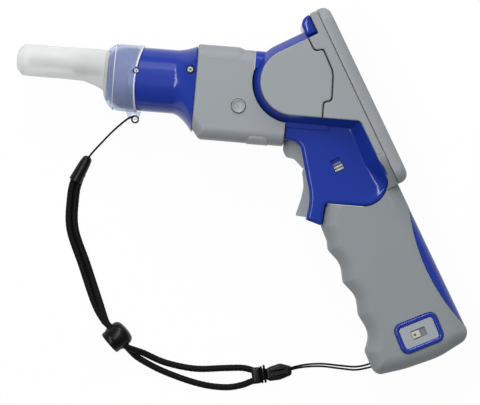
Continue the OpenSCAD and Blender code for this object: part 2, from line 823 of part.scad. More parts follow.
body_bosses = [[seam_x - 3, -head_floor + 9.5], [seam_x - 3.5, head_roof + 3], [pin_x + 22.5, pin_y - 8]];
boss_tops = [tub_z, tub_z, waist_z];
panel_wall = wall + 0.4;
sel_at = lean(strip_u - 22.2, -64.5, 0);

module head_skin() {
    hollow = inset(head_line, wall);
    bowl(
        [ring(head_line, 0, 0), ring(head_line, 0, waist_z), ring(head_line, band_run, tub_z)],
        [ring(hollow, 0, 0), ring(hollow, 0, waist_z - 1), ring(hollow, band_run, tub_z - wall)]
    );
}

// Sloping side of the strip, cut off by the sloping tail
module strip_solid() {
    intersection() {
        prism(strip_line, 0, tub_z);
        tail_cut(tub_z);
        leaning()
            translate([0, 60, 0])
                rotate([90, 0, 0])
                    linear_extrude(200)
                        polygon([
                            [strip_u - band_run, -1],
                            [tub_u + 5, -1],
                            [tub_u + 5, tub_z + 1],
                            [strip_u, tub_z + 1],
                            [strip_u, tub_z],
                            [strip_u - band_run, waist_z - 0.8]
                        ]);
    }
}

// Height of the sloping tail at v, where it leaves the level z_top
function tail_z(v, z_top) = z_top - (19 - lid_down - v) * (head_z - grip_z - 0.4) / 20;

// Half space under the sloping tail of the strip
module tail_cut(z_top) {
    leaning()
        translate([-300, 0, 0])
            rotate([90, 0, 90])
                linear_extrude(600)
                    polygon([
                        [300, -1],
                        [300, tail_z(-lid_down + 24, z_top)],
                        [-lid_down + 24, tail_z(-lid_down + 24, z_top)],
                        [-lid_down - 1, tail_z(-lid_down - 1, z_top)],
                        [-lid_down - 1, -1]
                    ]);
}

module body_half(lefty) {
    difference() {
        union() {
            head_skin();
            strip_solid();
            half_shell(panel_line, waist_z, 2.5, panel_wall, 3);
            pillow(collar_line, 0, body_z - 0.4, body_round, 3);
            for (i = [0:2])
                post(3, body_bosses[i][0], body_bosses[i][1], 0, boss_tops[i] - 1);
            post(4, pin_x, pin_y, slot_z, waist_z - 1);
            post(2.5, pin_x + 12.2, spring_y, 6 + seat, sel_inner + 0.5);
            if (lefty)
                for (q = board_posts)
                    post(2, q[0], q[1], main_z + 1.6, tub_z - 1);
        }
        for (i = [0:2])
            boss_bore(body_bosses[i], lefty, boss_tops[i]);
        post(pin_d / 2 + run, pin_x, pin_y, -1, waist_z - 1);
        shaft(motor_r + seat, front_x, motor_x + motor_len - 4, pump_y);
        leaning()
            translate([strip_u - 8, -40, -1])
                cube([20, 12, 9]);
        for (b = lid_bosses)
            leaning()
                translate([0, b[0], b[1]])
                    shaft(2.5, tub_u - 1.8, back_u);
        front_slot();
        if (lefty)
            translate([sel_at[0], sel_at[1], 0])
                rotate([0, 0, tilt])
                    translate([-2.6, -3 - selector_travel / 2, waist_z - panel_wall - 1])
                        cube([5.2, 5.2 + selector_travel, 20]);
    }
}

// Opening between the thumb panels for the trigger and the spine
module front_slot() {
    translate([0, 0, -1])
        linear_extrude(slot_z + 1)
            polygon([
                [body_back - 1, -body_down - 20],
                [body_back - 1, -head_floor - wall],
                [pin_x + 4, -head_floor - wall],
                [pin_x + 6, pin_y - 26.4],
                [pin_x - 20, pin_y - 26.4]
            ]);
}

module body_left() {
    color(blue)
        body_half(true);
}

module body_right() {
    color(blue)
        right_side()
            body_half(false);
}

// Outline with its seam edges, those of weight 1, drawn back by half the seam
function gapped(p) = [for (q = drawn_in(p, seam_gap / 2)) [q[0], q[1], q[2]]];
seam_top = lean(back_u - 11, head_roof - band_run, 0);
cheek_outline = gapped(concat(
    [[roof_meets(-head_floor + band_run, head_roof - band_run), -head_floor + band_run, head_round - band_run, 0]],
    [[seam_x, -head_floor + band_run, 0, 1]],
    [for (i = [1:5]) concat(seam_line[i], 1)],
    [concat(seam_top, 0)]
));
module cheek_left() {
    color(gray)
        pillow(cheek_outline, tub_z, head_z, 0.8, 2);
}

module cheek_right() {
    color(gray)
        right_side()
            pillow(cheek_outline, tub_z, head_z, 0.8, 2);
}

rear_outline = gapped(concat(
    [concat(seam_top, 1)],
    [for (i = [5:-1:1]) concat(seam_line[i], 1)],
    [[seam_x, -head_floor + band_run, 0, 0]],
    [[u_meets(strip_u, -head_floor + band_run), -head_floor + band_run, 3, 0]],
    [concat(lean(strip_u, -lid_down + 19, 0), 0)],
    [concat(lean(back_u, -lid_down + 19, 0), 0)],
    [concat(lean(back_u, lid_up - 0.4, 1.5), 0)],
    [concat(lean(back_u - 4.7, lid_up - 0.4, 1), 0)],
    [concat(lean(back_u - 4.7, head_roof - band_run, 0), 0)]
));
module rear_side() {
    pillow(rear_outline, tub_z, head_z, 0.8, 2);
    tail_skin();
}

// Skin over the sloping tail, widening to meet the grip
module tail_skin() {
    leaning()
        intersection() {
            linear_extrude(head_z)
                polygon([
                    [strip_u + 0.3, -lid_down + 22],
                    [strip_u + 0.3, -lid_down + 18],
                    [edge_u + 0.8, -lid_down],
                    [back_u - 0.1, -lid_down],
                    [back_u - 0.1, -lid_down + 22]
                ]);
            rotate([90, 0, 90])
                linear_extrude(100)
                    polygon([
                        [-lid_down - 1, tail_z(-lid_down - 1, tub_z) + 0.1],
                        [-lid_down + 19, tub_z + 0.1],
                        [-lid_down + 24, tub_z + 0.1],
                        [-lid_down + 24, head_z - 0.1],
                        [-lid_down + 19, head_z - 0.1],
                        [-lid_down - 1, tail_z(-lid_down - 1, head_z) - 0.1]
                    ]);
        }
}

lid_bosses = [for (v = [-lid_down + 22, lid_up - 16]) for (s = [-1, 1]) [v, s * (head_z - 7)]];
module rear_housing() {
    color(gray)
        difference() {
            union() {
                rear_side();
                right_side()
                    rear_side();
                tail_plate();
                leaning()
                    translate([back_u - 4.5, head_roof + seat, -head_z + 1.4])
                        cube([4.2, lid_up - head_roof - 1.1 - seat, head_w - 2.8]);
            }
            for (b = lid_bosses)
                leaning()
                    translate([0, b[0], b[1]])
                        shaft(case_r + 0.15, tub_u - 10, back_u + 5);
            leaning()
                translate([back_u - 10, -40, -12])
                    cube([20, 12, 24]);
        }
}

// Back wall of the rear housing, as wide as the sloping tail allows
module tail_plate() {
    leaning()
        translate([back_u - rear_wall, 0, 0])
            rotate([90, 0, 90])
                linear_extrude(rear_wall)
                    polygon([
                        [-lid_down, -grip_z + 0.4],
                        [-lid_down + 19, -head_z + 1.2],
                        [lid_up - 1.4, -head_z + 1.2],
                        [lid_up - 1.4, head_z - 1.2],
                        [-lid_down + 19, head_z - 1.2],
                        [-lid_down, grip_z - 0.4]
                    ]);
}

module top_bumper() {
    color(blue)
        leaning()
            translate([0, 0, -head_z + 0.8])
                linear_extrude(head_w - 1.6)
                    polygon(outline([
                        [back_u - 11.4, head_roof + seat, 2],
                        [back_u - 4.7 - seat, head_roof + seat, 0],
                        [back_u - 4.7 - seat, lid_up - 0.5, 0.8],
                        [back_u - 11.4, lid_up - 2, 4.5]
                    ]));
}

// Screen lid: its outline lies in the plane of the screen and is carried along u
module lid_frame() {
    multmatrix([
        [-sin(tilt), 0, cos(tilt), 0],
        [cos(tilt), 0, sin(tilt), 0],
        [0, 1, 0, 0],
        [0, 0, 0, 1]
    ])
        children();
}

lid_mid = (lid_up - lid_down) / 2 + 4;
module screen_lid() {
    color(gray)
        difference() {
            union() {
                difference() {
                    lid_frame()
                        pillow(lid_line, lid_u, lid_u + lid_t, lid_edge);
                    lid_frame()
                        prism(inset(lid_line, wall + 0.6), lid_u - 1, lid_u + lid_t - wall);
                }
                lid_frame()
                    for (b = lid_bosses)
                        post(3, b[0], b[1], lid_u, lid_u + lid_t - 1);
            }
            lid_frame() {
                prism(window_line(-2), lid_u, lid_u + lid_t + 1);
                prism(window_line(seat), lid_u + lid_t - 1.5, lid_u + lid_t + 1);
                for (b = lid_bosses)
                    post(case_r + run, b[0], b[1], lid_u - 1, lid_u + lid_t - 1.2);
            }
        }
}

function window_line(d) =
    box2(lid_mid - window_h / 2 - d, -window_w / 2 - d, lid_mid + window_h / 2 + d, window_w / 2 + d, 3);

module screen_window() {
    color(black)
        lid_frame()
            prism(window_line(0), lid_u + lid_t - 1.5, lid_u + lid_t - 0.2);
}

module display_module() {
    color(dark)
        lid_frame()
            prism(window_line(2), lid_u + seat, lid_u + lid_t - wall - seat);
}

module lid_screws() {
    color(steel)
        lid_frame()
            for (b = lid_bosses) {
                post(case_r, b[0], b[1], back_u - rear_wall - 0.1, lid_u + lid_t - 1.6);
                post(2.1, b[0], b[1], back_u - rear_wall - 1.5, back_u - rear_wall);
            }
}

main_z = pump_z + 2;
board_posts = [[body_back - 6.5, 11.5], [body_back + 11, 11.5], [body_back + 11, -8]];
module main_board() {
    color(green) {
        translate([body_back - 9, -10, main_z])
            cube([22, 24, 1.6]);
        translate([body_back - 2, -4, main_z + 1.6])
            cube([9, 9, 1.2]);
    }
}

// Spine and trigger

module spine() {
    color(dark)
        difference() {
            translate([0, 0, -trigger_z])
                linear_extrude(trigger_w)
                    polygon(outline([
                        [body_back + fit, -body_down - 2.4, 1.5],
                        [body_back + 2.3, -body_down - 6.3, 2.5],
                        [pin_x - 9.4, pin_y + 7.2, 3],
                        [pin_x - 6.4, pin_y + 4.4, 1],
                        [pin_x - 4, pin_y + 2.2, 0],
                        [pin_x + 2, pin_y + 4, 0],
                        [pin_x + 2, -head_floor - wall - fit, 0],
                        [body_back + fit, -head_floor - wall - fit, 0]
                    ]));
            post(knuckle_r + fit, pin_x, pin_y, -trigger_z - 1, trigger_z + 1);
        }
}

module trigger() {
    color(gray)
        difference() {
            translate([0, 0, -trigger_z])
                union() {
                    translate([pin_x, pin_y, 0])
                        cylinder(r = knuckle_r, h = trigger_w);
                    linear_extrude(trigger_w)
                        polygon(outline([
                            [pin_x - knuckle_r, pin_y, 0],
                            [pin_x - 2.6, pin_y - 8, 14],
                            [pin_x - 3.8, pin_y - 16, 20],
                            [pin_x - 6.2, pin_y - trigger_len, 1],
                            [pin_x + 0.6, pin_y - trigger_len - 0.4, 1],
                            [pin_x + 3.4, pin_y - 12, 10],
                            [pin_x + knuckle_r, pin_y, 0]
                        ]));
                }
            post(pin_d / 2 + run, pin_x, pin_y, -trigger_z - 1, trigger_z + 1);
        }
}

module trigger_pin() {
    color(steel)
        post(pin_d / 2, pin_x, pin_y, -waist_z + 1.6, waist_z - 1.6);
}

spring_y = pin_y - 8.5;
module trigger_spring() {
    color(steel)
        translate([pin_x + 4.3, spring_y, 0])
            tube([for (i = [0:36]) [i * 4.4 / 36, 2.4 * cos(i * 45), 2.4 * sin(i * 45)]], 0.6, 6);
}

module trigger_switch() {
    color(black)
        union() {
            translate([pin_x + 9.2, spring_y - 4.9, -6])
                cube([6, 10.4, 12]);
            translate([pin_x + 5.5, spring_y - 4.7, -1.5])
                cube([4, 2, 3]);
        }
}

// Thumb selector

sel_inner = waist_z - panel_wall;
module selector_slider() {
    color(clear)
        translate([sel_at[0], sel_at[1], 0])
            rotate([0, 0, tilt])
                difference() {
                    union() {
                        translate([-2.2, -2.6 - selector_travel / 2, sel_inner + 0.4])
                            cube([4.4, 4.4, waist_z - sel_inner + 0.4]);
                        translate([-1, -1.4 - selector_travel / 2, sel_inner - 2])
                            cube([2, 2, 3]);
                    }
                    for (i = [0:2])
                        translate([-4, -2 - selector_travel / 2 + i * 1.4, waist_z + 0.3])
                            cube([8, 0.6, 1]);
                }
}

module selector_switch() {
    color(black)
        translate([sel_at[0], sel_at[1], 0])
            rotate([0, 0, tilt])
                difference() {
                    translate([-5, -6 - selector_travel / 2, sel_inner - 5])
                        cube([10, 11 + selector_travel, 5 - seat]);
                    translate([-1.4, -1.8 - selector_travel / 2, sel_inner - 2.6])
                        cube([2.8, 2.8 + selector_travel, 4]);
                }
}

// Grip

grip_in = grip_z - wall;
strip_r = (back_strip_len * back_strip_len / 4 + back_strip_deep * back_strip_deep) / (2 * back_strip_deep);
strip_v = -(ridge_v - 2.5 + back_strip_len / 2);
function lens_depth(v) = back_strip_deep - strip_r + sqrt(strip_r * strip_r - (v - strip_v) * (v - strip_v));

// Room for the back strip, a shallow arc in the side view
module back_lens() {
    steps = 12;
    leaning()
        translate([0, 0, -60])
            linear_extrude(120)
                polygon(concat(
                    [[back_u + 20, strip_v + back_strip_len / 2 + 0.5], [back_u + 0.2, strip_v + back_strip_len / 2 + 0.5]],
                    [for (i = [steps:-1:0]) let (v = strip_v + (i / steps - 0.5) * back_strip_len)
                        [back_u - lens_depth(v) - seat, v]],
                    [[back_u + 0.2, strip_v - back_strip_len / 2 - 0.5], [back_u + 20, strip_v - back_strip_len / 2 - 0.5]]
                ));
}

ring_u = back_u - 25.7;
ring_v = -base_v + 17.2;
module at_ring() {
    leaning()
        translate([ring_u, ring_v, 0])
            rotate([0, 0, -3.6])
                children();
}

function ring_box(d, r) = box2(-ring_len / 2 - d, -ring_h / 2 - d, ring_len / 2 + d, ring_h / 2 + d, r);

grip_bosses = [[16, -ridge_v + 6.5], [back_u - 10.5, -ridge_v + 6.5], [back_u - 6.4, -base_v + 7.2]];
anchor_u = grip_front - toe_reach + 6;
anchor_v = -base_v + 11.4;

// Solid end of the grip behind the thumb panel, with the rounded back of the grip
module grip_horn() {
    intersection() {
        prism(horn_line, 0, grip_z);
        leaning()
            rotate([90, 0, 0])
                linear_extrude(200)
                    polygon(outline([
                        [0, 0.05, 0],
                        [back_u - 0.05, 0.05, 0],
                        [back_u - 0.05, grip_z - 0.05, grip_round],
                        [0, grip_z - 0.05, 0]
                    ]));
    }
}

module grip_half(lefty) {
    difference() {
        union() {
            difference() {
                union() {
                    half_shell(grip_line, grip_z, grip_round, wall);
                    grip_horn();
                }
                back_lens();
            }
            leaning() {
                for (b = grip_bosses)
                    post(2.8, b[0], b[1], 0, grip_in + 0.5);
                post(2.6, anchor_u, anchor_v, 5, grip_in - 0.2);
            }
        }
        leaning() {
            for (b = grip_bosses)
                boss_bore(b, lefty, grip_z);
            post(1.25 + run, anchor_u, anchor_v, -1, grip_in - 3);
            translate([0, anchor_v, 0])
                shaft(2.6, anchor_u - 12, anchor_u - 3);
        }
        if (lefty)
            at_ring()
                prism(ring_box(seat, 4.7), grip_in - 2, grip_z + 1);
    }
}

module grip_left() {
    color(soft_gray)
        grip_half(true);
}

module grip_right() {
    color(soft_gray)
        right_side()
            grip_half(false);
}

// Section of the rounded back of the grip, d inside its skin
function back_section(d) = [
    [back_u - 16, -grip_z + d, 0],
    [back_u - d, -grip_z + d, grip_round - d],
    [back_u - d, grip_z - d, grip_round - d],
    [back_u - 16, grip_z - d, 0]
];

module back_strip() {
    color(blue)
        leaning()
            intersection() {
                translate([0, strip_v + back_strip_len, 0])
                    rotate([90, 0, 0])
                        linear_extrude(2 * back_strip_len)
                            difference() {
                                polygon(outline(back_section(0)));
                                polygon(outline(back_section(wall)));
                            }
                post(strip_r, back_u - back_strip_deep + strip_r, strip_v, -grip_z - 1, grip_z + 1, $fn = 180);
            }
}

cell_us = [grip_front + 14.6, grip_front + 14.6 + cell_d + 1.6];
cell_v = -base_v + 10.5;
module battery_cells() {
    color([0.25, 0.45, 0.70])
        leaning()
            for (u = cell_us)
                translate([u, cell_v, 0])
                    rotate([-90, 0, 0])
                        cylinder(r = cell_d / 2, h = cell_len);
}

module battery_contacts() {
    color(steel)
        leaning()
            for (u = cell_us)
                for (v = [cell_v - 0.5, cell_v + cell_len])
                    translate([u - 4, v, -4])
                        cube([8, 0.5, 8]);
}

tray_u = grip_front + 4.3;
module battery_tray() {
    color(black)
        leaning()
            union() {
                translate([tray_u, cell_v - 2, -9])
                    cube([1, cell_len + 4, 18]);
                for (v = [cell_v - 2, cell_v + cell_len + 0.5])
                    translate([tray_u, v, -9])
                        cube([cell_us[1] + 7 - tray_u, 1.5, 18]);
            }
}

module switch_ring() {
    color(blue)
        at_ring()
            difference() {
                union() {
                    pillow(ring_box(0, 4.5), grip_in - 1.6, grip_z + 0.9, 0.9, 3);
                    prism(ring_box(1.4, 5), grip_in - 1.6, grip_in - 0.7);
                }
                prism(ring_box(-3, 2.5), grip_in - 0.2, grip_z + 2);
                prism(ring_box(-5, 1.5), grip_in - 3, grip_z);
            }
}

module switch_plate() {
    color(gray)
        at_ring()
            difference() {
                prism(ring_box(-3 - seat, 2.3), grip_in - 0.2, grip_z - 0.3);
                prism(box2(-4.4, -2.2, 4.4, 2.2, 0.8), grip_in - 1, grip_z);
            }
}

knob_w = 8.8 - 2 * fit - power_travel;
module power_slider() {
    color(clear)
        at_ring()
            union() {
                translate([-4.4 + fit, -2.2 + fit, grip_in])
                    cube([knob_w, 4.4 - 2 * fit, wall + 0.6]);
                translate([-4.4 + fit + knob_w / 2 - 1, -1, grip_in - 4.6])
                    cube([2, 2, 5]);
            }
}

module power_switch() {
    color(black)
        at_ring()
            difference() {
                translate([-7, -3.5, grip_in - 6.6])
                    cube([14, 7, 5]);
                translate([-4.4 + knob_w / 2 - 1, -1 - fit, grip_in - 5])
                    cube([2 + 2 * fit + power_travel, 2 + 2 * fit, 5]);
            }
}

module anchor_pin() {
    color(steel)
        leaning()
            post(1.25, anchor_u, anchor_v, -grip_in + 3.4, grip_in - 3.4);
}

module case_screw(b, z) {
    post(case_r, b[0], b[1], -z + 3.3, 8);
    post(2.2, b[0], b[1], -z + 1.6, -z + 3.4);
}

module case_screws() {
    color(steel) {
        for (b = front_bosses)
            case_screw(b, body_z);
        for (i = [0:2])
            case_screw(body_bosses[i], boss_tops[i]);
        leaning()
            for (b = grip_bosses)
                case_screw(b, grip_z);
    }
}

// Wrist strap. Its points are in the barrel frame, with heights above the table.
module on_table() {
    translate([0, 0, -head_z])
        children();
}

thin_r = thin_d / 2;
strand_r = strand_d / 2;
tether_route = [
    [lug_x + 0.5, lug_y + 0.3, head_z - 3.4], [lug_x - 0.2, lug_y - 0.2, head_z + 1.6],
    [lug_x - 2.2, lug_y - 1.6, head_z + 3.6], [lug_x - 6, lug_y - 5.4, head_z], [-71, -33, 18],
    [-77, -38.5, 8], [-81.5, -42.5, 4], [-83.8, -46.1, 3.4], [-84.6, -47.9, 3.4]
];
module tether_nose() {
    color(black)
        on_table()
            tube(smooth(tether_route, 3), thin_d, 8);
}

module ferrule() {
    color(black)
        on_table()
            translate([-83.8, -46.1, 3.8])
                rotate([0, 0, atan2(-10.9, -5)])
                    rotate([0, 90, 0])
                        rotate_extrude()
                            polygon([[0, 0], [1.6, 0], [2.6, 1], [3.2, 4], [3.8, 12], [0, 12]]);
}

upper_route = [
    [-86.3, -56.2, 3.8], [-87.7, -59.8, 3.4], [-89.2, -69, 2.3], [-88.2, -87.6, 2.2], [-79.8, -107.5, 2.3],
    [-70.9, -128.6, 4.2], [-66.4, -139.2, 8.2], [-63.9, -142.7, 9.4], [-58.7, -147.9, 9.5], [-53.3, -153.3, 9.4],
    [-48.6, -155, 6.8], [-43, -156.6, 3.6], [-32, -160.6, 2.3], [-20, -162.7, 2], [-9.8, -163.1, 2], [3, -161.6, 2],
    [13, -160.6, 2.4], [18, -160.9, 3], [22.5, -162, 3.2]
];
lower_route = [
    [-89.9, -54.6, 3.8], [-91.5, -59, 3.4], [-93.1, -69, 2.2], [-92.1, -88.2, 2], [-83.4, -109.2, 2],
    [-74.3, -130, 2.6], [-67.8, -139.4, 4.4], [-63.9, -142.7, 5.4], [-58.7, -147.9, 5.5], [-53.3, -153.3, 5.4],
    [-50.4, -156.2, 3.4], [-45.6, -159.8, 2.2], [-33.6, -165.2, 2], [-20, -169.4, 2], [-9, -171.8, 2],
    [0, -172.6, 2], [8, -172.2, 2.2], [15, -170.3, 2.6], [19.4, -168.2, 3], [23.4, -166.4, 3.2]
];
module strand_upper() {
    color(black)
        on_table()
            tube(smooth(upper_route, 2), strand_d, 10);
}

module strand_lower() {
    color(black)
        on_table()
            tube(smooth(lower_route, 2), strand_d, 10);
}

// Cord lock: its axis lies square to the strands, the plunger at the lower left
module at_lock() {
    on_table()
        translate([-58.7, -147.9, lock_d / 2])
            rotate([0, 0, 45])
                children();
}

plunger_r = lock_d / 2 - 1.9;
lock_len = 13.5;
slot_half = strand_r + fit;
module lock_barrel() {
    color(black)
        at_lock()
            difference() {
                rotate([0, 90, 0])
                    rotate_extrude()
                        polygon([
                            [0, -3.2], [lock_d / 2, -3.2], [lock_d / 2, 2.5],
                            [lock_d / 2 - 0.5, 4.4], [lock_d / 2 - 1.6, 5.8], [lock_d / 2 - 3.4, 6.5], [0, lock_len / 2]
                        ]);
                shaft(plunger_r + fit, -4, 5.2);
                lock_slot(0);
            }
}

// Way of the two strands, one above the other, through barrel and plunger
module lock_slot(d) {
    translate([-slot_half - d, -20, -strand_d - fit])
        cube([2 * slot_half + d, 40, 2 * strand_d + 2 * fit]);
}

module lock_plunger() {
    color(black)
        at_lock()
            difference() {
                union() {
                    shaft(plunger_r, -5, 3.3);
                    shaft(plunger_r + 0.9, -lock_len / 2, -3.3 - lock_travel);
                }
                lock_slot(lock_travel);
            }
}

module lock_spring() {
    color(steel)
        at_lock()
            tube([for (i = [0:16]) [3.6 + i * 1.3 / 16, 3 * cos(i * 45), 3 * sin(i * 45)]], 0.5, 6);
}

// Eye and buckle lie on one line, a little turned from the barrel
module at_buckle() {
    on_table()
        translate([20, -164.6, 0])
            rotate([0, 0, 12])
                children();
}

module strap_eye() {
    color(black)
        at_buckle()
            union() {
                pillow(box2(0, -4.9, 5.2, 4.5, 1), 0, 6.4, 1, 2);
                pillow(box2(5, -4.6, 8.2, 4.6, 0.8), 0.4, 6, 0.8, 2);
            }
}

module buckle() {
    color(black)
        at_buckle()
            pillow([
                [8.2, -3.2, 1], [10, -4.4, 2], [16, -4.4, 4], [8.2 + buckle_len, -2.4, 2], [8.2 + buckle_len, 2.6, 1.5],
                [17, 5, 4], [11, 3.8, 3], [8.2, 2.6, 1]
            ], 0, 6.2, 1.6, 3);
}

// Thin loop from the buckle, into the toe of the grip and round the anchor pin
tether_far = [
    [42, -158.8, 3.4], [46.6, -156.6, 5], [52, -154.6, 10], [60, -152.2, 19], [70, -151.2, 27],
    [79, -152, head_z - 0.5]
];
loop_r = 2 * thin_d;
loop_bend = [
    [-6, -1.1], [-1.5, -1.1 * loop_r], [0.6 * loop_r, -0.8 * loop_r], [loop_r, 0], [0.6 * loop_r, 0.8 * loop_r],
    [-1.5, 1.1 * loop_r], [-6, 1.1]
];
module tether_grip() {
    far = len(tether_far) - 1;
    color(black)
        on_table()
            tube(smooth(concat(
                [for (q = tether_far) [q[0], q[1] - 0.75, q[2]]],
                [for (q = loop_bend) let (c = lean(anchor_u + q[0], anchor_v + q[1], 0)) [c[0], c[1], head_z]],
                [for (i = [far:-1:0]) tether_far[i] + [0, 0.75, 0]]
            ), 3), thin_d, 8);
}

placed() neck();
placed() neck_screws();
placed() nozzle_holder();
placed() nozzle();
placed() cap_seal();
placed() nose_cap();
placed() filter();
placed() hoses();
placed() bulkhead();
placed() pump_head();
placed() pump_motor();
placed() front_left();
placed() front_right();
placed() side_button();
placed() control_board();
placed() port_cover();
placed() port_socket();
placed() body_left();
placed() body_right();
placed() cheek_left();
placed() cheek_right();
placed() rear_housing();
placed() top_bumper();
placed() screen_lid();
placed() screen_window();
placed() display_module();
placed() lid_screws();
placed() main_board();
placed() spine();
placed() trigger();
placed() trigger_pin();
placed() trigger_spring();
placed() trigger_switch();
placed() selector_slider();
placed() selector_switch();
placed() grip_left();
placed() grip_right();
placed() back_strip();
placed() battery_tray();
placed() battery_cells();
placed() battery_contacts();
placed() switch_ring();
placed() switch_plate();
placed() power_slider();
placed() power_switch();
placed() case_screws();
placed() anchor_pin();
placed() tether_nose();
placed() ferrule();
placed() strand_upper();
placed() strand_lower();
placed() lock_barrel();
placed() lock_plunger();
placed() lock_spring();
placed() strap_eye();
placed() buckle();
placed() tether_grip();
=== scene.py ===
import json
import math

import bmesh
import bpy
import numpy as np
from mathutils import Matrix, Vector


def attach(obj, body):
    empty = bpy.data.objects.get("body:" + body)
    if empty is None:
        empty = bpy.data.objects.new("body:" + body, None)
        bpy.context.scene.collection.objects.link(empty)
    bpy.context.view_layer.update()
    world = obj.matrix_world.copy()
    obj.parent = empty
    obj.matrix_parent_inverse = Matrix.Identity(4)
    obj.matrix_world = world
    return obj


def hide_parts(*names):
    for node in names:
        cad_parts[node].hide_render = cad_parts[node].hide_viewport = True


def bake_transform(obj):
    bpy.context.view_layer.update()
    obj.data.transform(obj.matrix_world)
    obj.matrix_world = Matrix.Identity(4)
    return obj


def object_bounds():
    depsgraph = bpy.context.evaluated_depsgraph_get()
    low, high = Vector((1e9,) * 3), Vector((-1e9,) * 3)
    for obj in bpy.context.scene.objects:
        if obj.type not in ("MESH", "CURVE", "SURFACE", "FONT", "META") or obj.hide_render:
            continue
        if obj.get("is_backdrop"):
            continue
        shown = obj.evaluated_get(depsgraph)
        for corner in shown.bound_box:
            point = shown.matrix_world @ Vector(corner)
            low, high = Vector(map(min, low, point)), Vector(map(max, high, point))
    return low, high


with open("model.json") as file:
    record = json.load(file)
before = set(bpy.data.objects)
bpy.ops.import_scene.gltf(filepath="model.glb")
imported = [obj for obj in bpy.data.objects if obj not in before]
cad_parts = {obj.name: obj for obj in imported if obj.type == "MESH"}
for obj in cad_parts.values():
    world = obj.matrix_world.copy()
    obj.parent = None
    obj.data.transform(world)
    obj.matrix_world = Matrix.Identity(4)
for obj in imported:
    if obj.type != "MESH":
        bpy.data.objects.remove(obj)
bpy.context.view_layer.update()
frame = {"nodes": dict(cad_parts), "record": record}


# Table and light: a plain pale board under an even sky, a long strip lamp on the left and a soft panel behind.
# The board shows white to the camera, and to what mirrors or lets light through, with a trace of shadow.
class Wire:
    """An output socket that can stand in a sum: each operator adds one Math node."""

    def __init__(self, graph, socket):
        self.graph = graph
        self.socket = socket

    def math(self, operation, *terms):
        return self.graph.add("Math", {"operation": operation}, dict(enumerate(terms)))

    def __add__(self, other):
        return self.math("ADD", self, other)

    def __sub__(self, other):
        return self.math("SUBTRACT", self, other)

    def __rsub__(self, other):
        return self.math("SUBTRACT", other, self)

    def __mul__(self, other):
        return self.math("MULTIPLY", self, other)

    __radd__ = __add__
    __rmul__ = __mul__


class Graph:
    """A node tree in the making: add puts in one node, its settings first and then its sockets."""

    def __init__(self, tree):
        self.tree = tree

    def add(self, kind, settings, sockets, output=0):
        made = self.tree.nodes.new("ShaderNode" + kind)
        for key, value in settings.items():
            setattr(made, key, value)
        for key, value in sockets.items():
            self.feed(made.inputs[key], value)
        return Wire(self, made.outputs[output])

    def feed(self, socket, value):
        if isinstance(value, Wire):
            self.tree.links.new(value.socket, socket)
        else:
            socket.default_value = value


class Finish(Graph):
    """A material in the making: shade feeds one socket of its shader."""

    def __init__(self, name, **constants):
        self.material = bpy.data.materials.new(name)
        self.material.use_nodes = True
        super().__init__(self.material.node_tree)
        self.shader = self.tree.nodes["Principled BSDF"]
        for socket, value in constants.items():
            self.shade(socket.replace("_", " "), value)

    def shade(self, socket, value):
        self.feed(self.shader.inputs[socket], value)

    def noise(self, scale, detail=2.0):
        place = self.add("TexCoord", {}, {}, "Object")
        return self.add("TexNoise", {}, {"Vector": place, "Scale": scale, "Detail": detail}, "Fac")

    def mix(self, share, low, high):
        return self.add("Mix", {"data_type": "RGBA"}, {0: share, 6: low, 7: high}, 2)

    def bump(self, height, strength, distance):
        self.shade("Normal", self.add("Bump", {}, {"Strength": strength, "Distance": distance, "Height": height}))


def linear(red, green, blue, share=1.0):
    """A colour of 0 to 255 steps, as light amounts, times share."""
    steps = np.array([red, green, blue]) / 255
    light = np.where(steps <= 0.04045, steps / 12.92, ((steps + 0.055) / 1.055) ** 2.4)
    return (*(light * share), 1.0)


table_half = 3.0
table_mesh = bpy.data.meshes.new("table")
table_corners = [(a * table_half, b * table_half, 0) for a, b in ((-1, -1), (1, -1), (1, 1), (-1, 1))]
table_mesh.from_pydata(table_corners, [], [(0, 1, 2, 3)])
table = bpy.data.objects.new("table", table_mesh)
scene = bpy.context.scene
scene.collection.objects.link(table)
paper = Finish("white_board", Roughness=0.9)
paper.shade("Base Color", paper.mix(paper.noise(40), linear(236, 237, 238), linear(242, 242, 242)))
seen = paper.add("LightPath", {}, {}, "Is Camera Ray")
for kind in ("Is Glossy Ray", "Is Transmission Ray"):
    seen = seen.math("MAXIMUM", seen, paper.add("LightPath", {}, {}, kind))
glow = paper.add("Emission", {}, {"Color": (1, 1, 1, 1), "Strength": 1.0})
lit = Wire(paper, paper.shader.outputs[0])
white_share = 0.965
mixed = paper.add("MixShader", {}, {0: seen * white_share, 1: lit, 2: glow})
paper.feed(paper.tree.nodes["Material Output"].inputs["Surface"], mixed)
table_mesh.materials.append(paper.material)
table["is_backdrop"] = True

scene.view_settings.view_transform = "Standard"
sky = bpy.data.worlds.new("studio_sky")
sky.use_nodes = True
scene.world = sky
air = Graph(sky.node_tree)
northward = air.add("SeparateXYZ", {}, {0: air.add("TexCoord", {}, {}, "Generated")}, "Y")
dim_to_bright = {"Value": northward, "From Min": -0.9, "From Max": 0.9, "To Min": 0.16, "To Max": 0.52}
shade = air.add("MapRange", {}, dim_to_bright)
strength = air.add("Mix", {}, {0: air.add("LightPath", {}, {}, "Is Camera Ray"), 2: shade, 3: 1.0})
background = sky.node_tree.nodes["Background"]
background.inputs["Color"].default_value = (1, 1, 1, 1)
air.feed(background.inputs["Strength"], strength)

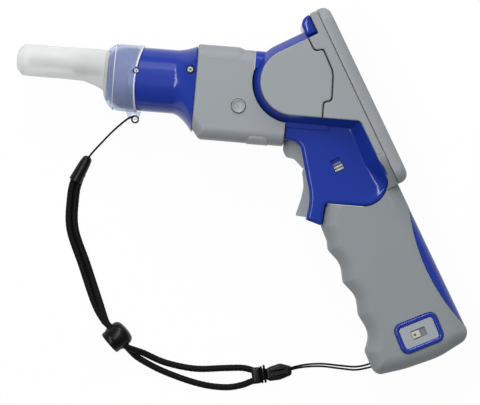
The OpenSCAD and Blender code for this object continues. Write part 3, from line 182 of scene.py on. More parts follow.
for name, place, target, width, length, power in [
    ("key_strip", (-0.27, 0.45, 1.0), (0, 0.45, 0.03), 0.12, 1.5, 9.6),
    ("top_panel", (0.1, 1.1, 0.8), (0, 0, 0.03), 1.2, 0.6, 5.0),
]:
    lamp = bpy.data.lights.new(name, "AREA")
    lamp.shape = "RECTANGLE"
    lamp.size = width
    lamp.size_y = length
    lamp.energy = power
    stand = bpy.data.objects.new(name, lamp)
    stand.location = place
    aim = np.array(target) - np.array(place)
    lean_x = math.atan2(aim[1], -aim[2])
    stand.rotation_euler = (lean_x, math.atan2(-aim[0], math.hypot(aim[1], aim[2])), 0)
    scene.collection.objects.link(stand)


# Camera: straight above, turned so that the nose rises to the upper left, with a long lens.
# The picture spans 480 by 405 steps of 0.57 mm at the height of the object's middle plane.
photo_turn = math.radians(4.6)
photo_width = 0.2736
photo_middle = (-0.000457, -0.01182)
middle_plane = 0.031
lens = 310.0
sensor = 36.0
eye = bpy.data.cameras.new("camera")
eye.lens = lens
eye.sensor_width = sensor
camera = bpy.data.objects.new("camera", eye)
camera.location = (*photo_middle, middle_plane + photo_width * lens / sensor)
camera.rotation_euler = (0, 0, photo_turn)
scene.collection.objects.link(camera)
scene.camera = camera


# Front body: two moulded half shells of fine-grained grey plastic, screwed together along the middle plane.
# A raised pad tops them, and the rear edge follows the round head.
barrel_axis = np.array([-5.73759, 53.739, 31.0])
tilt = math.radians(30)
head_z = 31.0


def row(points):
    """Points of the barrel frame in millimetres, as metres of the row frame."""
    return (np.asarray(points, float) + barrel_axis) / 1000


def lean(u, v):
    """Point of the leaning frame of grip and screen: u and v turned by the tilt."""
    return [u * math.cos(tilt) - v * math.sin(tilt), u * math.sin(tilt) + v * math.cos(tilt)]


def meets(u, y):
    """Place along the barrel where the leaning line u reaches height y."""
    return (u - y * math.sin(tilt)) / math.cos(tilt)


def rounded(corners, inset=0.0, step=5.0):
    """Closed outline with round corners: x, y, radius, and the share of the inset taken by the side that leaves.

    Each corner slides to where its two sides, moved in, meet again; its arc turns from one side to the other.
    """
    c = np.array([[*q, 1.0] if len(q) == 3 else q for q in corners], float)
    ahead = np.roll(c[:, :2], -1, 0) - c[:, :2]
    ahead /= np.linalg.norm(ahead, axis=1)[:, None]
    behind = np.roll(ahead, 1, 0)
    turn = np.arctan2(behind[:, 0] * ahead[:, 1] - behind[:, 1] * ahead[:, 0], (behind * ahead).sum(1))
    left_behind = np.column_stack([-behind[:, 1], behind[:, 0]])
    left_ahead = np.column_stack([-ahead[:, 1], ahead[:, 0]])
    enter = inset * np.roll(c[:, 3], 1)
    leave = inset * c[:, 3]
    cosine = np.clip((behind * ahead).sum(1), -1, 1)
    flat = np.abs(1 - cosine ** 2) < 1e-4
    share = np.where(flat, 1.0, 1 - cosine ** 2)
    slide = np.where(
        flat[:, None],
        left_behind * ((enter + leave) / 2)[:, None],
        ((enter - leave * cosine) / share)[:, None] * left_behind
        + ((leave - enter * cosine) / share)[:, None] * left_ahead,
    )
    place = c[:, :2] + slide
    hand = np.where(turn > 0, 1.0, -1.0)
    radius = np.where(c[:, 2] > 0, np.maximum(c[:, 2] - hand * np.minimum(enter, leave), 0.3), 0.0)
    start = place - behind * (radius * np.tan(np.abs(turn) / 2))[:, None]
    middle = start + left_behind * (hand * radius)[:, None]
    arcs = []
    for i, arm in enumerate(start - middle):
        count = max(1, int(abs(math.degrees(turn[i])) / step + 0.7)) if c[i, 2] > 0 else 0
        angle = turn[i] * np.linspace(0, 1, count + 1)
        arcs.append(middle[i] + np.column_stack([
            arm[0] * np.cos(angle) - arm[1] * np.sin(angle),
            arm[0] * np.sin(angle) + arm[1] * np.cos(angle),
        ]))
    return np.concatenate(arcs)


def slab(corners, profile):
    """Rings of one outline: every inset and height of the profile gives a ring."""
    rings = [rounded(corners, inset) for inset, height in profile]
    return np.stack([np.column_stack([r, np.full(len(r), z)]) for r, (inset, z) in zip(rings, profile)])


def soft_top(low, high, radius, steps=10):
    """Profile of a wall from low to high whose upper edge is a quarter circle, then level."""
    a = np.linspace(0, math.pi / 2, steps)
    curve = np.column_stack([radius * (1 - np.cos(a)), high - radius + radius * np.sin(a)])
    return [(0.35, low), (0, low + 0.35), *curve.tolist(), (radius + 0.3, high)]


soft_crease = 38


def skin(name, grid, finish, crease=soft_crease):
    """Closed mesh of a grid, rows by columns: the columns run round, and the first and last rows are filled."""
    rows, columns = grid.shape[:2]
    i, j = np.mgrid[0:rows - 1, 0:columns]
    k = (j + 1) % columns
    quads = np.stack([i * columns + j, i * columns + k, (i + 1) * columns + k, (i + 1) * columns + j], -1)
    ends = [list(range(columns - 1, -1, -1)), list(range((rows - 1) * columns, rows * columns))]
    mesh = bpy.data.meshes.new(name)
    mesh.from_pydata(row(grid.reshape(-1, 3)).tolist(), [], quads.reshape(-1, 4).tolist() + ends)
    return finished(name, mesh, finish, crease)


def finished(name, mesh, finish, crease):
    """Object of a mesh whose faces are turned outwards, smooth up to the crease angle."""
    shape = bmesh.new()
    shape.from_mesh(mesh)
    bmesh.ops.recalc_face_normals(shape, faces=shape.faces)
    shape.to_mesh(mesh)
    shape.free()
    mesh.shade_smooth()
    mesh.set_sharp_from_angle(angle=math.radians(crease))
    made = bpy.data.objects.new(name, mesh)
    scene.collection.objects.link(made)
    made.data.materials.append(finish)
    return made


def stands_for(made, *replaced, body="handle"):
    """The piece rides on its body and takes the place of CAD nodes."""
    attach(made, body)
    if replaced:
        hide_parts(*replaced)
    return made


def piece(name, grid, finish, *replaced, body="handle"):
    """A skin that needs no cuts and stands for CAD nodes as it is."""
    return stands_for(skin(name, grid, finish), *replaced, body=body)


def mirrored(grid):
    """The same grid on the right side of the middle plane."""
    return grid * np.array([1, 1, -1])


hands = (("left", np.asarray), ("right", mirrored))


def cut(made, grid, operation="DIFFERENCE"):
    """The piece less the closed skin of a grid, or what the two share."""
    tool = skin("tool", grid, made.data.materials[0])
    knife = made.modifiers.new("cut", "BOOLEAN")
    knife.operation = operation
    knife.solver = "EXACT"
    knife.object = tool
    graph = bpy.context.evaluated_depsgraph_get()
    mesh = bpy.data.meshes.new_from_object(made.evaluated_get(graph))
    made.modifiers.clear()
    made.data = mesh
    mesh.set_sharp_from_angle(angle=math.radians(soft_crease))
    bpy.data.objects.remove(tool)
    return made


def moulded(name, colour, roughness, grain, depth, **constants):
    """Moulded plastic: cloudy shade, fine eroded grain, and gloss that follows both."""
    made = Finish(name, **constants)
    cloud = made.noise(26, 3.0)
    speck = made.noise(grain, 4.0)
    made.shade("Base Color", made.mix(cloud, linear(*colour, 0.93), linear(*colour, 1.06)))
    made.shade("Roughness", cloud * 0.10 + speck * 0.08 + (roughness - 0.09))
    made.bump(speck, 0.35, depth)
    return made.material


grey_plastic = moulded("grained_grey_plastic", (138, 143, 147), 0.5, 2600, 0.00006)
body_z = 23.0
body_round = 7.0
front_x = -25.2
body_back = 27.0
body_up = 22.0
body_down = 31.3
head_mid = np.array([29.99, 4.5])
head_gap = 23.4
collar_x = 7.4
arc = np.radians(np.linspace(262.66, 164.88, 28))
front_outline = [
    (front_x - 0.4, -body_down + 5.6, 1),
    (front_x + 3.8, -body_down, 3),
    (body_back, -body_down - 0.2, 1, 0),
    *[(head_mid[0] + head_gap * math.cos(a), head_mid[1] + head_gap * math.sin(a), 0, 0) for a in arc],
    (collar_x, body_up - 1.2, 0.6),
    (1.2, body_up - 1.2, 0.6),
    (-1.6, body_up, 1),
    (front_x, body_up, 1.2, 0.12),
]
front_rings = slab(front_outline, soft_top(0.03, body_z, body_round, 14))


def drum(x, y, radius, low, high, sides=48):
    """Closed upright drum, used as a cutting tool or a plain pin."""
    a = np.linspace(0, 2 * math.pi, sides, endpoint=False)
    ring = np.column_stack([x + radius * np.cos(a), y + radius * np.sin(a)])
    return np.stack([np.column_stack([ring, np.full(sides, z)]) for z in (low, high)])


def screw_well(x, y, face, out=1):
    """Tool for the well of a case screw in the right side, whose skin lies at the height of the face."""
    return drum(x, y, 2.4, -face - out, -face + 3.4)


tab_x = 12.2
tab_half = 6.2
tab_top = 4.7
tab_y = -27.4
tab_gap = 0.15
button_y = -11.3
front_left = skin("front_left_shell", front_rings, grey_plastic)
front_right = skin("front_right_shell", mirrored(front_rings), grey_plastic)
cut(front_left, drum(0, button_y, 4.3, body_z - 2.4, body_z + 2))
notch_half = tab_half + tab_gap
notch_top = tab_top + tab_gap
notch = slab([
    (tab_x - notch_half, -40, 0), (tab_x + notch_half, -40, 0), (tab_x + notch_half, -body_down, 0),
    (tab_x + notch_top, tab_y + tab_gap, 0.6), (tab_x - notch_top, tab_y + tab_gap, 0.6),
    (tab_x - notch_half, -body_down, 0)], [(0, -30), (0, 30)])
for half in (front_left, front_right):
    cut(half, notch)
bosses = (front_x + 11.5, body_up - 9.6), (front_x + 11.5, -body_down + 10), (body_back - 4.6, -body_down + 6)
for boss in bosses:
    cut(front_right, screw_well(*boss, body_z))
stands_for(front_left, "front_left")
stands_for(front_right, "front_right")


# Port flap: a soft grey rubber cover, moulded to wrap round the lower edge of the front body.
# A tongue on its inside holds it in the charging socket, from which it pulls out.
def flap_grid(proud, wall_in):
    """Closed band along the round lower edge of the body, wider below: its sides are carried across the band."""
    last = math.acos(1 - (tab_y + body_down) / body_round)
    a = np.linspace(last, 0, 16)
    out, inner = body_round + proud, body_round - wall_in
    arcs = [np.column_stack([-r * np.cos(a), r * np.sin(a)]) for r in (out, inner)]
    half = [[body_round - body_down, body_z - body_round] + arc for arc in arcs]
    both = [np.concatenate([h, h[::-1] * [1, -1]]) for h in half]
    ring = np.concatenate([both[0], both[1][::-1]])
    wide = tab_top + (tab_half - tab_top) * np.clip((tab_y - ring[:, 0]) / (tab_y + body_down), 0, 1)
    share = np.array([-1, -0.97, 0.97, 1])[:, None]
    drop = np.array([0.25, 0, 0, 0.25])[:, None] * (np.arange(len(ring)) < len(both[0]))
    return np.stack([tab_x + share * wide, ring[:, 0] + drop, ring[:, 1] * (1 - 0.004 * drop)], -1)


def box(x0, y0, x1, y1, radius):
    """Corners of a rectangle with equal rounds."""
    return [(x0, y0, radius), (x1, y0, radius), (x1, y1, radius), (x0, y1, radius)]


flap_grey = moulded("flap_grey_rubber", (158, 163, 164), 0.6, 3000, 0.00005)
piece("port_flap", flap_grid(0.5, 1.6), flap_grey, "port_cover", body="port_plug")
tongue = slab(box(tab_x - 4, -body_down + 1, tab_x + 4, -body_down + 5.6, 0.5),
              [(0.4, -3), (0, -2.6), (0, 2.6), (0.4, 3)])
piece("port_tongue", tongue, flap_grey, body="port_plug")


# Side button: a moulded grey disc with a raised rim and a dished middle.
# A flange inside the left half shell keeps it in its hole, where it moves in and out.
def turned(profile, centre, axis, sides=64):
    """Profile of radius and height carried round an axis through centre."""
    axis = np.array(axis, float) / np.linalg.norm(axis)
    across = np.cross(axis, [0.0, 1.0, 0.0] if abs(axis[1]) < 0.9 else [1.0, 0.0, 0.0])
    across /= np.linalg.norm(across)
    third = np.cross(axis, across)
    a = np.linspace(0, 2 * math.pi, sides, endpoint=False)
    ring = np.cos(a)[:, None] * across + np.sin(a)[:, None] * third
    p = np.array(profile, float)
    return np.asarray(centre, float) + p[:, :1, None] * ring[None] + p[:, 1:, None] * axis[None, None]


button_grey = moulded("button_grey_plastic", (144, 148, 150), 0.42, 2600, 0.00004)
piece("round_button", turned(
    [(4.9, 19.1), (4.9, 20.2), (4.0, 20.3), (4.0, 23.6), (3.9, 24.0), (3.6, 24.25), (3.2, 24.2), (2.9, 23.95),
     (2.0, 23.8), (1.0, 23.75), (0.05, 23.74)],
    (0, button_y, 0), (0, 0, 1)), button_grey, "side_button", body="button")


# Neck: one glossy blue moulding, a round barrel that swells into the rounded box of the front body.
# Its turned-down front end is the seat of the cap.
blue_plastic = moulded("glossy_blue_plastic", (27, 52, 147), 0.155, 1500, 0.00002, Specular_IOR_Level=0.3)
neck_r = 18.2
spigot_r = 17.5
neck_x = -75.8
rim_x = -55.8
flare_x = -37.6
tip_screw = (rim_x - 3.4, 4.2)
root_screw = (front_x - 3.5, 7.2)


def rim_edge(y):
    """Place of the cap's rear edge along the barrel: hollow towards the middle, further back on top."""
    return rim_x - 0.8 + 0.047 * y - 2.8 * (1 - np.clip(y / 19.1, -1, 1) ** 2)


def behind_rim(ring, gap):
    """Ring of the neck set a gap behind the cap's edge."""
    return np.column_stack([rim_edge(ring[:, 1]) + gap, ring[:, 1:]])


def neck_ring(x, low, up, wide, radius):
    """Section of the neck square to the barrel: a rounded box."""
    ring = rounded(box(-low, -wide, up, wide, radius), step=4.0)
    return np.column_stack([np.full(len(ring), x), ring])


def neck_round(x, radius):
    """Section of the neck where it is as good as round."""
    return neck_ring(x, radius, radius, radius, radius - 0.05)


swell = []
for t in np.linspace(0, 1, 24):
    e = t ** 1.7
    up = neck_r + (body_up - 1.2 - neck_r) * e
    low = neck_r + (body_down - 3.4 - neck_r) * e
    wide = neck_r + (body_z - 1.4 - neck_r) * e
    corner = min(neck_r + (9 - neck_r) * e, wide - 0.05)
    swell.append(neck_ring(flare_x + t * (front_x - 0.5 - flare_x), low, up, wide, corner))
neck_rings = np.stack([
    neck_round(neck_x + 3.4, 10.0), neck_round(neck_x + 3.4, 14.2), neck_round(neck_x + 4.4, 15.4),
    neck_round(neck_x + 6.5, spigot_r - 1.1), neck_round(neck_x + 9, spigot_r),
    behind_rim(neck_round(rim_x, spigot_r), 0.25), behind_rim(neck_round(rim_x, neck_r - 0.25), 0.3),
    behind_rim(neck_round(rim_x, neck_r), 0.55),
    *swell, neck_ring(front_x - 0.3, body_down - 4.2, body_up - 2, body_z - 2.2, 8.4),
    neck_ring(front_x + 4.8, body_down - 5, body_up - 2.8, body_z - 3, 7.6),
])
neck = skin("neck_barrel", neck_rings, blue_plastic)
for side in (-1, 1):
    for place, radius, bottom in ((root_screw, 2.5, 18.8), (tip_screw, 1.7, 15.6)):
        near, far = sorted((side * bottom, side * 30))
        cut(neck, drum(*place, radius, near, far))
stands_for(neck, "neck")


# Cap: one moulding of clear to milky plastic that slips over the front of the neck: a thimble with a wide skirt,
# whose rear edge is hollowed and notched for the screws, and a lug below for the tether.
def translucent(name, colour, roughness, through_share, bend):
    """Plastic that lets light through with a blur, mottled a little, over a fine grain."""
    made = Finish(name, Transmission_Weight=through_share, IOR=bend)
    mist = made.noise(60, 3.0)
    made.shade("Base Color", made.mix(mist, linear(*colour, 0.96), linear(*colour)))
    made.shade("Roughness", mist * 0.12 + roughness)
    made.bump(made.noise(900, 3.0), 0.2, 0.00005)
    return made.material


milky = translucent("milky_plastic", (253, 254, 253), 0.30, 0.655, 1.18)
clear_skirt = translucent("clear_plastic_skirt", (216, 227, 245), 0.08, 0.82, 1.07)
# Whiter, less clear plastic: a painted highlight on the cap's rear rim and on one thin raised ring.
highlight_white = translucent("milky_plastic_painted_highlight", (247, 250, 254), 0.3, 0.25, 1.3)
nozzle_up = 5.7
cap_x = -128.1
thimble_r = 9.2
skirt_r = 19.1
skirt_x = neck_x + 8.4
cap_wall = 1.3


def stations(*groups):
    """Place, rise and radius of the cap's stations; every group is measured from a place and a radius."""
    return np.concatenate([np.array(offsets) + [x, 0, r] for x, r, offsets in groups])


skirt_end = skirt_x - neck_x
thimble = [(-6, 0.79, 1.4), (-11, 0.93, 0.5), (-16.5, 1, 0)]
cap_outside = stations(
    (rim_x, skirt_r, [(0, 0, -0.4), (-0.3, 0, 0.2), (-0.9, 0, 0.35), (-1.7, 0, 0.1), (-2.4, 0, 0)]),
    (neck_x, skirt_r, [
        (skirt_end, 0, 0), (5.6, 0.02, -0.25), (4.6, 0.02, -0.35), (4.0, 0.03, -0.2), (3.4, 0.04, -0.9),
        (1.6, 0.07, -2.4), (-0.8, 0.21, -5.4)]),
    (neck_x, thimble_r, [(-1.6, 0.42, 2.7), (-2.2, 0.6, 2.2), *thimble]),
    (cap_x, thimble_r, [
        (6.5, 1, -0.2), (4.2, 1, -0.8), (2.2, 1, -2.1), (0.9, 1, -3.9), (0.25, 1, -6), (0, 1, 0.4 - thimble_r)]))
cap_inside = stations(
    (rim_x, skirt_r, [(0, 0, 0)]),
    (neck_x, skirt_r, [(skirt_end, 0, 0), (5.6, 0.02, -0.6), (2.6, 0.05, -2.4), (0.5, 0.21, -4.9)]),
    (neck_x, thimble_r, [(-0.3, 0.25, 4), (-1.4, 0.6, 2.2), *thimble]),
    (cap_x, thimble_r, [
        (6.6, 1, -0.2), (4.6, 1, -0.9), (2.9, 1, -2.6), (1.8, 1, -4.8), (cap_wall, 1, cap_wall + 0.4 - thimble_r)]))


def through(points, steps):
    """Smooth line through points: the cubic whose slope at each point is that of its two neighbours."""
    p = np.asarray(points, float)
    padded = np.concatenate([p[:1], p, p[-1:]])
    a, b, c, d = (padded[i:len(padded) - 3 + i][:, None] for i in range(4))
    t = np.linspace(0, 1, steps, endpoint=False)[None, :, None]
    curve = 0.5 * (2 * b + (c - a) * t + (2 * a - 5 * b + 4 * c - d) * t ** 2 + (3 * b - a - 3 * c + d) * t ** 3)
    return np.concatenate([curve.reshape(-1, p.shape[1]), p[-1:]])


def cap_rings(stations, thinner, steps):
    """Rings of the cap: each station gives place, rise towards the nozzle's height and radius.

    The skirt is stretched to the hollow rear edge, which is notched at the screws.
    """
    line = through(stations, steps)
    a = np.linspace(0, 2 * math.pi, 320, endpoint=False)
    x = np.repeat(line[:, :1], len(a), 1)
    y = line[:, 1:2] * nozzle_up + (line[:, 2:] - thinner) * np.cos(a)
    z = -(line[:, 2:] - thinner) * np.sin(a)
    edge = rim_edge(y)
    off = y - tip_screw[1]
    notch_r = 2.0
    notched = tip_screw[0] - np.sqrt(np.maximum(notch_r ** 2 - off ** 2, 0))
    edge = np.where(np.abs(off) < notch_r, np.minimum(edge, notched), edge)
    x = np.where(x > skirt_x, skirt_x + (x - skirt_x) * (edge - skirt_x) / (rim_x - skirt_x), x)
    return np.stack([x, y, z], -1)


cap_grid = np.concatenate([cap_rings(cap_outside, 0, 6)[::-1], cap_rings(cap_inside, cap_wall, 6)])
cap = skin("frosted_cap", cap_grid, milky, 60)
cap.data.materials.append(clear_skirt)
cap.data.materials.append(highlight_white)
# Faces of the rear rim and of the thin raised ring take the whiter plastic as a painted highlight; the skirt takes
# the clear one.
face_mid = np.empty(len(cap.data.polygons) * 3)
cap.data.polygons.foreach_get("center", face_mid)
face_mid = face_mid.reshape(-1, 3) * 1000 - barrel_axis
rim_highlight = face_mid[:, 0] > rim_edge(face_mid[:, 1]) - 0.75
ring_highlight = np.abs(face_mid[:, 0] - neck_x - 4.1) < 0.16
in_skirt = face_mid[:, 0] > neck_x + 0.2
cap.data.polygons.foreach_set("material_index", np.where(rim_highlight | ring_highlight, 2, in_skirt).astype(np.int32))
lug_x = rim_x - 3.6
lug_y = -neck_r - 3.3
lug_half = 4.5
lug = slab([
    (lug_x - 2.6, lug_y - 2, 2.2), (lug_x + 3, lug_y - 2, 2.2),
    (lug_x + lug_half, -skirt_r + 0.6, 0), (lug_x - lug_half, -skirt_r + 0.6, 0)],
    [(0.5, -2.4), (0.15, -2.25), (0, -1.9), (0, 1.9), (0.15, 2.25), (0.5, 2.4)])
tether_lug = skin("tether_lug", lug, clear_skirt)
cut(tether_lug, drum(lug_x, lug_y, 1.5, -4, 4))
stands_for(cap, "nose_cap", body="cap")
stands_for(tether_lug, body="cap")


# Main body: two halves moulded in blue plastic and screwed together. The round head has a sloped band all round,
# and below it a sunk thumb panel runs down to the grip, with a raised strip along the screen.
tub_z = 29.0
waist_z = 19.0
band_run = 4.4
back_u = 57.2
strip_u = 52.7
tub_u = back_u - 2.6
head_floor = 18.7
head_roof = 12.1
head_round = 23.2
lid_down = 88.3
lid_up = 20.2
pin_x = body_back + 16.5
pin_y = -body_down - 14.2
panel_floor = pin_y - 16.7
head_point = (-head_floor * math.cos(tilt) - head_roof) / math.sin(tilt)
head_outline = [
    (head_point, -head_floor, head_round), (meets(tub_u, -head_floor), -head_floor, 0, 0),
    (*lean(tub_u, head_roof), 0)]
head_rings = slab(head_outline, [
    (0.3, 0.03), (0, 0.4), (0, 18.2), (0.05, 18.7), (0.25, 19.3), (0.55, 20.1), (4.1, 28.2), (4.5, 28.8),
    (5.0, tub_z), (5.6, tub_z)])
panel_right = strip_u + 1.0
panel_corner = 14.0
corner_y = panel_floor + panel_corner
corner_mid = np.array([meets(panel_right - panel_corner, corner_y), corner_y])
band_floor = -head_floor + band_run
panel_outline = [
    (body_back + 0.3, -body_down + 3, 0), (body_back + 9.2, -body_down + 3, 7), (pin_x + 1.4, pin_y - 14.5, 30),
    (pin_x - 0.3, pin_y - 26.8, 1), (pin_x + 8.8, pin_y - 29.5, 1), (pin_x + 9.8, panel_floor, 2.5),
    (meets(panel_right, panel_floor), panel_floor, panel_corner), (meets(panel_right, band_floor), band_floor, 0),
    (body_back + 0.3, band_floor, 0)]
tail_v = -lid_down + 19
tail_fall = 0.63
trough_u = 45.6
trough_deep = 3.0
side_run = 6.4


def tail_drop(v):
    """How far the tail of the strip has sunk at v: it starts level and steepens to a plane."""
    past = np.maximum(tail_v - v, 0)
    return tail_fall * past ** 2 / (past + 6)


def ramp(low, high, value):
    """Smooth step: 0 up to low, 1 from high."""
    t = np.clip((value - low) / (high - low), 0, 1)
    return t * t * (3 - 2 * t)


def panel_height(x, y):
    """Height of the thumb panel over the middle plane.

    A shallow trough runs beside the strip; the strip's side rises from it as a plane, with a hollow that widens
    down the panel, and sinks along the tail; the open edges roll off as a quarter circle.
    """
    u = x * math.cos(tilt) + y * math.sin(tilt)
    v = -x * math.sin(tilt) + y * math.cos(tilt)
    trough = np.exp(-((u - trough_u) / 8.5) ** 2) * (0.3 + 0.7 * ramp(46, 72, -v)) * (1 - ramp(84, 96, -v))
    floor = waist_z - trough_deep * trough + 0.7 * ramp(-21.3, -20.9, y) * (1 - ramp(34, 36, u))
    crest = np.maximum(tub_z - tail_drop(v), waist_z + 0.3)
    hollow = 0.5 + 16 * ramp(74, 90, -v)
    side = crest - np.maximum(strip_u - u, 0) * (tub_z - waist_z + 0.8) / side_run
    top = np.minimum((floor + side + np.sqrt((floor - side) ** 2 + hollow)) / 2, np.maximum(crest, floor))
    edge = rounded(panel_outline)
    edge = np.concatenate([edge[:-1] + (edge[1:] - edge[:-1]) * t for t in np.linspace(0, 1, 24)])
    edge = edge[(edge[:, 1] < -28.2) & (edge @ [math.cos(tilt), math.sin(tilt)] < panel_right - 1.5)]
    near = np.min(np.hypot(x[..., None] - edge[:, 0], y[..., None] - edge[:, 1]), -1)
    roll = 2.2
    return top - roll + np.sqrt(roll ** 2 - np.maximum(roll - near, 0) ** 2)


def round_corner(first, last, clear):
    """Corners of the round behind the panel, clear of it, between two angles in degrees."""
    a = np.radians(np.linspace(first, last, 24))
    return [(*q, 0, 0) for q in corner_mid + (panel_corner + clear) * np.column_stack([np.cos(a), np.sin(a)])]


def block(name, top, floor, finish):
    """Closed block: the given grid on top, upright sides and a level base."""
    rows, columns = top.shape[:2]
    spot = np.arange(rows * columns).reshape(rows, columns)
    quads = np.stack([spot[:-1, :-1], spot[1:, :-1], spot[1:, 1:], spot[:-1, 1:]], -1).reshape(-1, 4)
    rim = np.concatenate([spot[0, :-1], spot[:-1, -1], spot[-1, :0:-1], spot[:0:-1, 0]])
    low = rows * columns + np.arange(len(rim))
    base = top.reshape(-1, 3)[rim] * [1, 1, 0] + [0, 0, floor]
    walls = np.stack([rim, np.roll(rim, -1), np.roll(low, -1), low], -1)
    mesh = bpy.data.meshes.new(name)
    points = row(np.concatenate([top.reshape(-1, 3), base]))
    mesh.from_pydata(points.tolist(), [], quads.tolist() + walls.tolist() + [low.tolist()])
    return finished(name, mesh, finish, soft_crease)


collar_outline = [
    (collar_x + 0.2, head_mid[1] + 6.5, 0, 0), (head_mid[0] - 20, head_mid[1] + 6.5, 0, 0),
    (head_mid[0] - 15.4, body_up - 1.2, 0, 1), (collar_x + 0.2, body_up - 1.2, 0, 0)]
collar_rings = slab(collar_outline, soft_top(0.03, body_z - 0.4, body_round, 12))
panel_x, panel_y = np.meshgrid(np.linspace(26, 100, 150), np.linspace(-77, -13, 130), indexing="ij")
panel_top = np.stack([panel_x, panel_y, panel_height(panel_x, panel_y)], -1)
panel_plan = slab(panel_outline, [(0, -1.0), (0, 40.0)])
sel_at = np.array(lean(strip_u - 22.2, -64.5))


def at_selector(corners):
    """Corners given along and across the slot, turned into the barrel frame."""
    return [(*(sel_at + lean(a, b)), r) for a, b, r in corners]


slot_corners = at_selector(box(-2.8, -3.1, 3.2, 4.5, 0.5))
for hand, flip in hands:
    piece(f"{hand}_head_band", flip(head_rings), blue_plastic, f"body_{hand}")
    piece(f"{hand}_collar", flip(collar_rings), blue_plastic)
    panel = block(f"{hand}_thumb_panel", flip(panel_top), flip([0, 0, 0.03])[2], blue_plastic)
    cut(panel, flip(panel_plan), "INTERSECT")
    if hand == "left":
        cut(panel, slab(slot_corners, [(0, 17.0), (0, 40.0)]))
    else:
        cut(panel, screw_well(pin_x + 22.5, pin_y - 8, waist_z, 3))
    stands_for(panel)


# Cheeks and rear housing: flat skins moulded in grey plastic that close the head, parted by a stepped open seam
# whose shadow is painted by a dark tube laid in it; the rear one also carries the screen and ends in a sloping tail.
seam_x = body_back + 20.7
seam = [
    (seam_x, 13.3 - head_floor, 2), (seam_x + 4.5, 14.1 - head_floor, 2.5), (seam_x + 4.1, 30.2 - head_floor, 14),
    (seam_x - 2.5, 42.7 - head_floor, 1.5), (seam_x - 7.4, 41.6 - head_floor, 2.5)]
seam_top = lean(back_u - 11, head_roof - band_run)
half_seam = 0.3


def swung(grid, angle, x0=0.0, y0=0.0, z0=0.0):
    """Grid turned about the upright axis by the angle, then moved."""
    x, y, z = np.moveaxis(np.asarray(grid, float), -1, 0)
    c, s = math.cos(angle), math.sin(angle)
    return np.stack([x0 + x * c - y * s, y0 + x * s + y * c, z0 + z], -1)


def leaning(grid):
    """Grid of u, v and z turned into the barrel frame."""
    return swung(grid, tilt)


def drawn_back(corners):
    """The outline whose weighted sides stand back by half the seam, as plain corners."""
    c = [[*q, 1.0] if len(q) == 3 else list(q) for q in corners]
    moved = []
    for i, q in enumerate(c):
        p0, p1, p2 = (np.array(c[k % len(c)][:2]) for k in (i - 1, i, i + 1))
        a, b = (p1 - p0) / np.linalg.norm(p1 - p0), (p2 - p1) / np.linalg.norm(p2 - p1)
        normals = np.array([[-a[1], a[0]], [-b[1], b[0]]])
        shift = np.linalg.lstsq(normals, half_seam * np.array([c[i - 1][3], q[3]]), rcond=None)[0]
        moved.append((*(p1 + shift), q[2]))
    return moved


cheek_outline = drawn_back([
    ((band_floor * math.cos(tilt) - (head_roof - band_run)) / math.sin(tilt), band_floor, head_round - band_run, 0),
    (seam_x, band_floor, 0, 1), *[(*q, 1) for q in seam], (*seam_top, 0, 0)])
rear_outline = drawn_back([
    (*seam_top, 0, 1), *[(*q, 1) for q in seam[::-1]], (seam_x, band_floor, 0, 0),
    (meets(strip_u, band_floor), band_floor, 3, 0), (*lean(strip_u, tail_v), 0, 0),
    (*lean(back_u, tail_v), 0, 0), (*lean(back_u, lid_up - 0.4), 1.5, 0),
    (*lean(back_u - 4.7, lid_up - 0.4), 1, 0), (*lean(back_u - 4.7, head_roof - band_run), 0, 0)])
skin_profile = [(0, tub_z - 0.6), *soft_top(tub_z, head_z, 0.8, 6)[2:]]
cheek_rings = slab(cheek_outline, skin_profile)
rear_rings = slab(rear_outline, skin_profile)
tail_gap = 0.15
tail_step = panel_right + tail_gap - strip_u
eased = np.linspace(0, 1, 9)[:-1]
tail_outline = [
    (*lean(strip_u, tail_v + 1), 0, 0),
    *[(*lean(strip_u + tail_step * ramp(0, 1, t), tail_v - 9.3 * t), 0, 0) for t in eased],
    *round_corner(29.9, -14.6, tail_gap),
    (*lean(back_u - 0.1, -lid_down), 0, 0), (*lean(back_u - 0.1, tail_v + 1), 0, 0)]
tail_plan = slab(tail_outline, [(0, 18.0), (0, 40.0)])
tail_u, tail_w = np.meshgrid(
    np.linspace(20, 62, 20), np.linspace(tail_v + 3, -lid_down - 4, 60), indexing="ij")
tail_top = leaning(np.stack([tail_u, tail_w, head_z - tail_drop(tail_w)], -1))
for hand, flip in hands:
    piece(f"{hand}_cheek", flip(cheek_rings), grey_plastic, f"cheek_{hand}")
    piece(f"{hand}_rear_side", flip(rear_rings), grey_plastic, "rear_housing")
    tail = block(f"{hand}_tail", flip(tail_top), flip([0, 0, 17.0])[2], grey_plastic)
    stands_for(cut(tail, flip(tail_plan), "INTERSECT"))


# Black rubber of the CAD pieces; the same finish paints shade in the open seam and on the floors of the root screw
# wells.
dark_rubber_and_shade = moulded("dark_rubber_and_shade", (26, 27, 29), 0.7, 1500, 0.00005, Specular_IOR_Level=0.2)


def carried(path, ring_radius, sides):
    """Tube: ring i stands square to the path at its i-th point; ring_radius gives every point's distance."""
    p = np.asarray(path, float)
    ahead = np.gradient(p, axis=0)
    ahead /= np.linalg.norm(ahead, axis=1)[:, None]
    across = np.cross(ahead, [0.0, 0.0, 1.0])
    across /= np.linalg.norm(across, axis=1)[:, None]
    third = np.cross(across, ahead)
    a = np.linspace(0, 2 * math.pi, sides, endpoint=False)
    ring = np.cos(a)[None, :, None] * third[:, None] + np.sin(a)[None, :, None] * across[:, None]
    along = np.concatenate([[0], np.cumsum(np.linalg.norm(np.diff(p, axis=0), axis=1))])
    return p[:, None] + ring_radius(along[:, None], a[None, :])[..., None] * ring


def even(radius):
    """Distance of a plain round tube."""
    return lambda along, angle: radius + 0 * along * angle


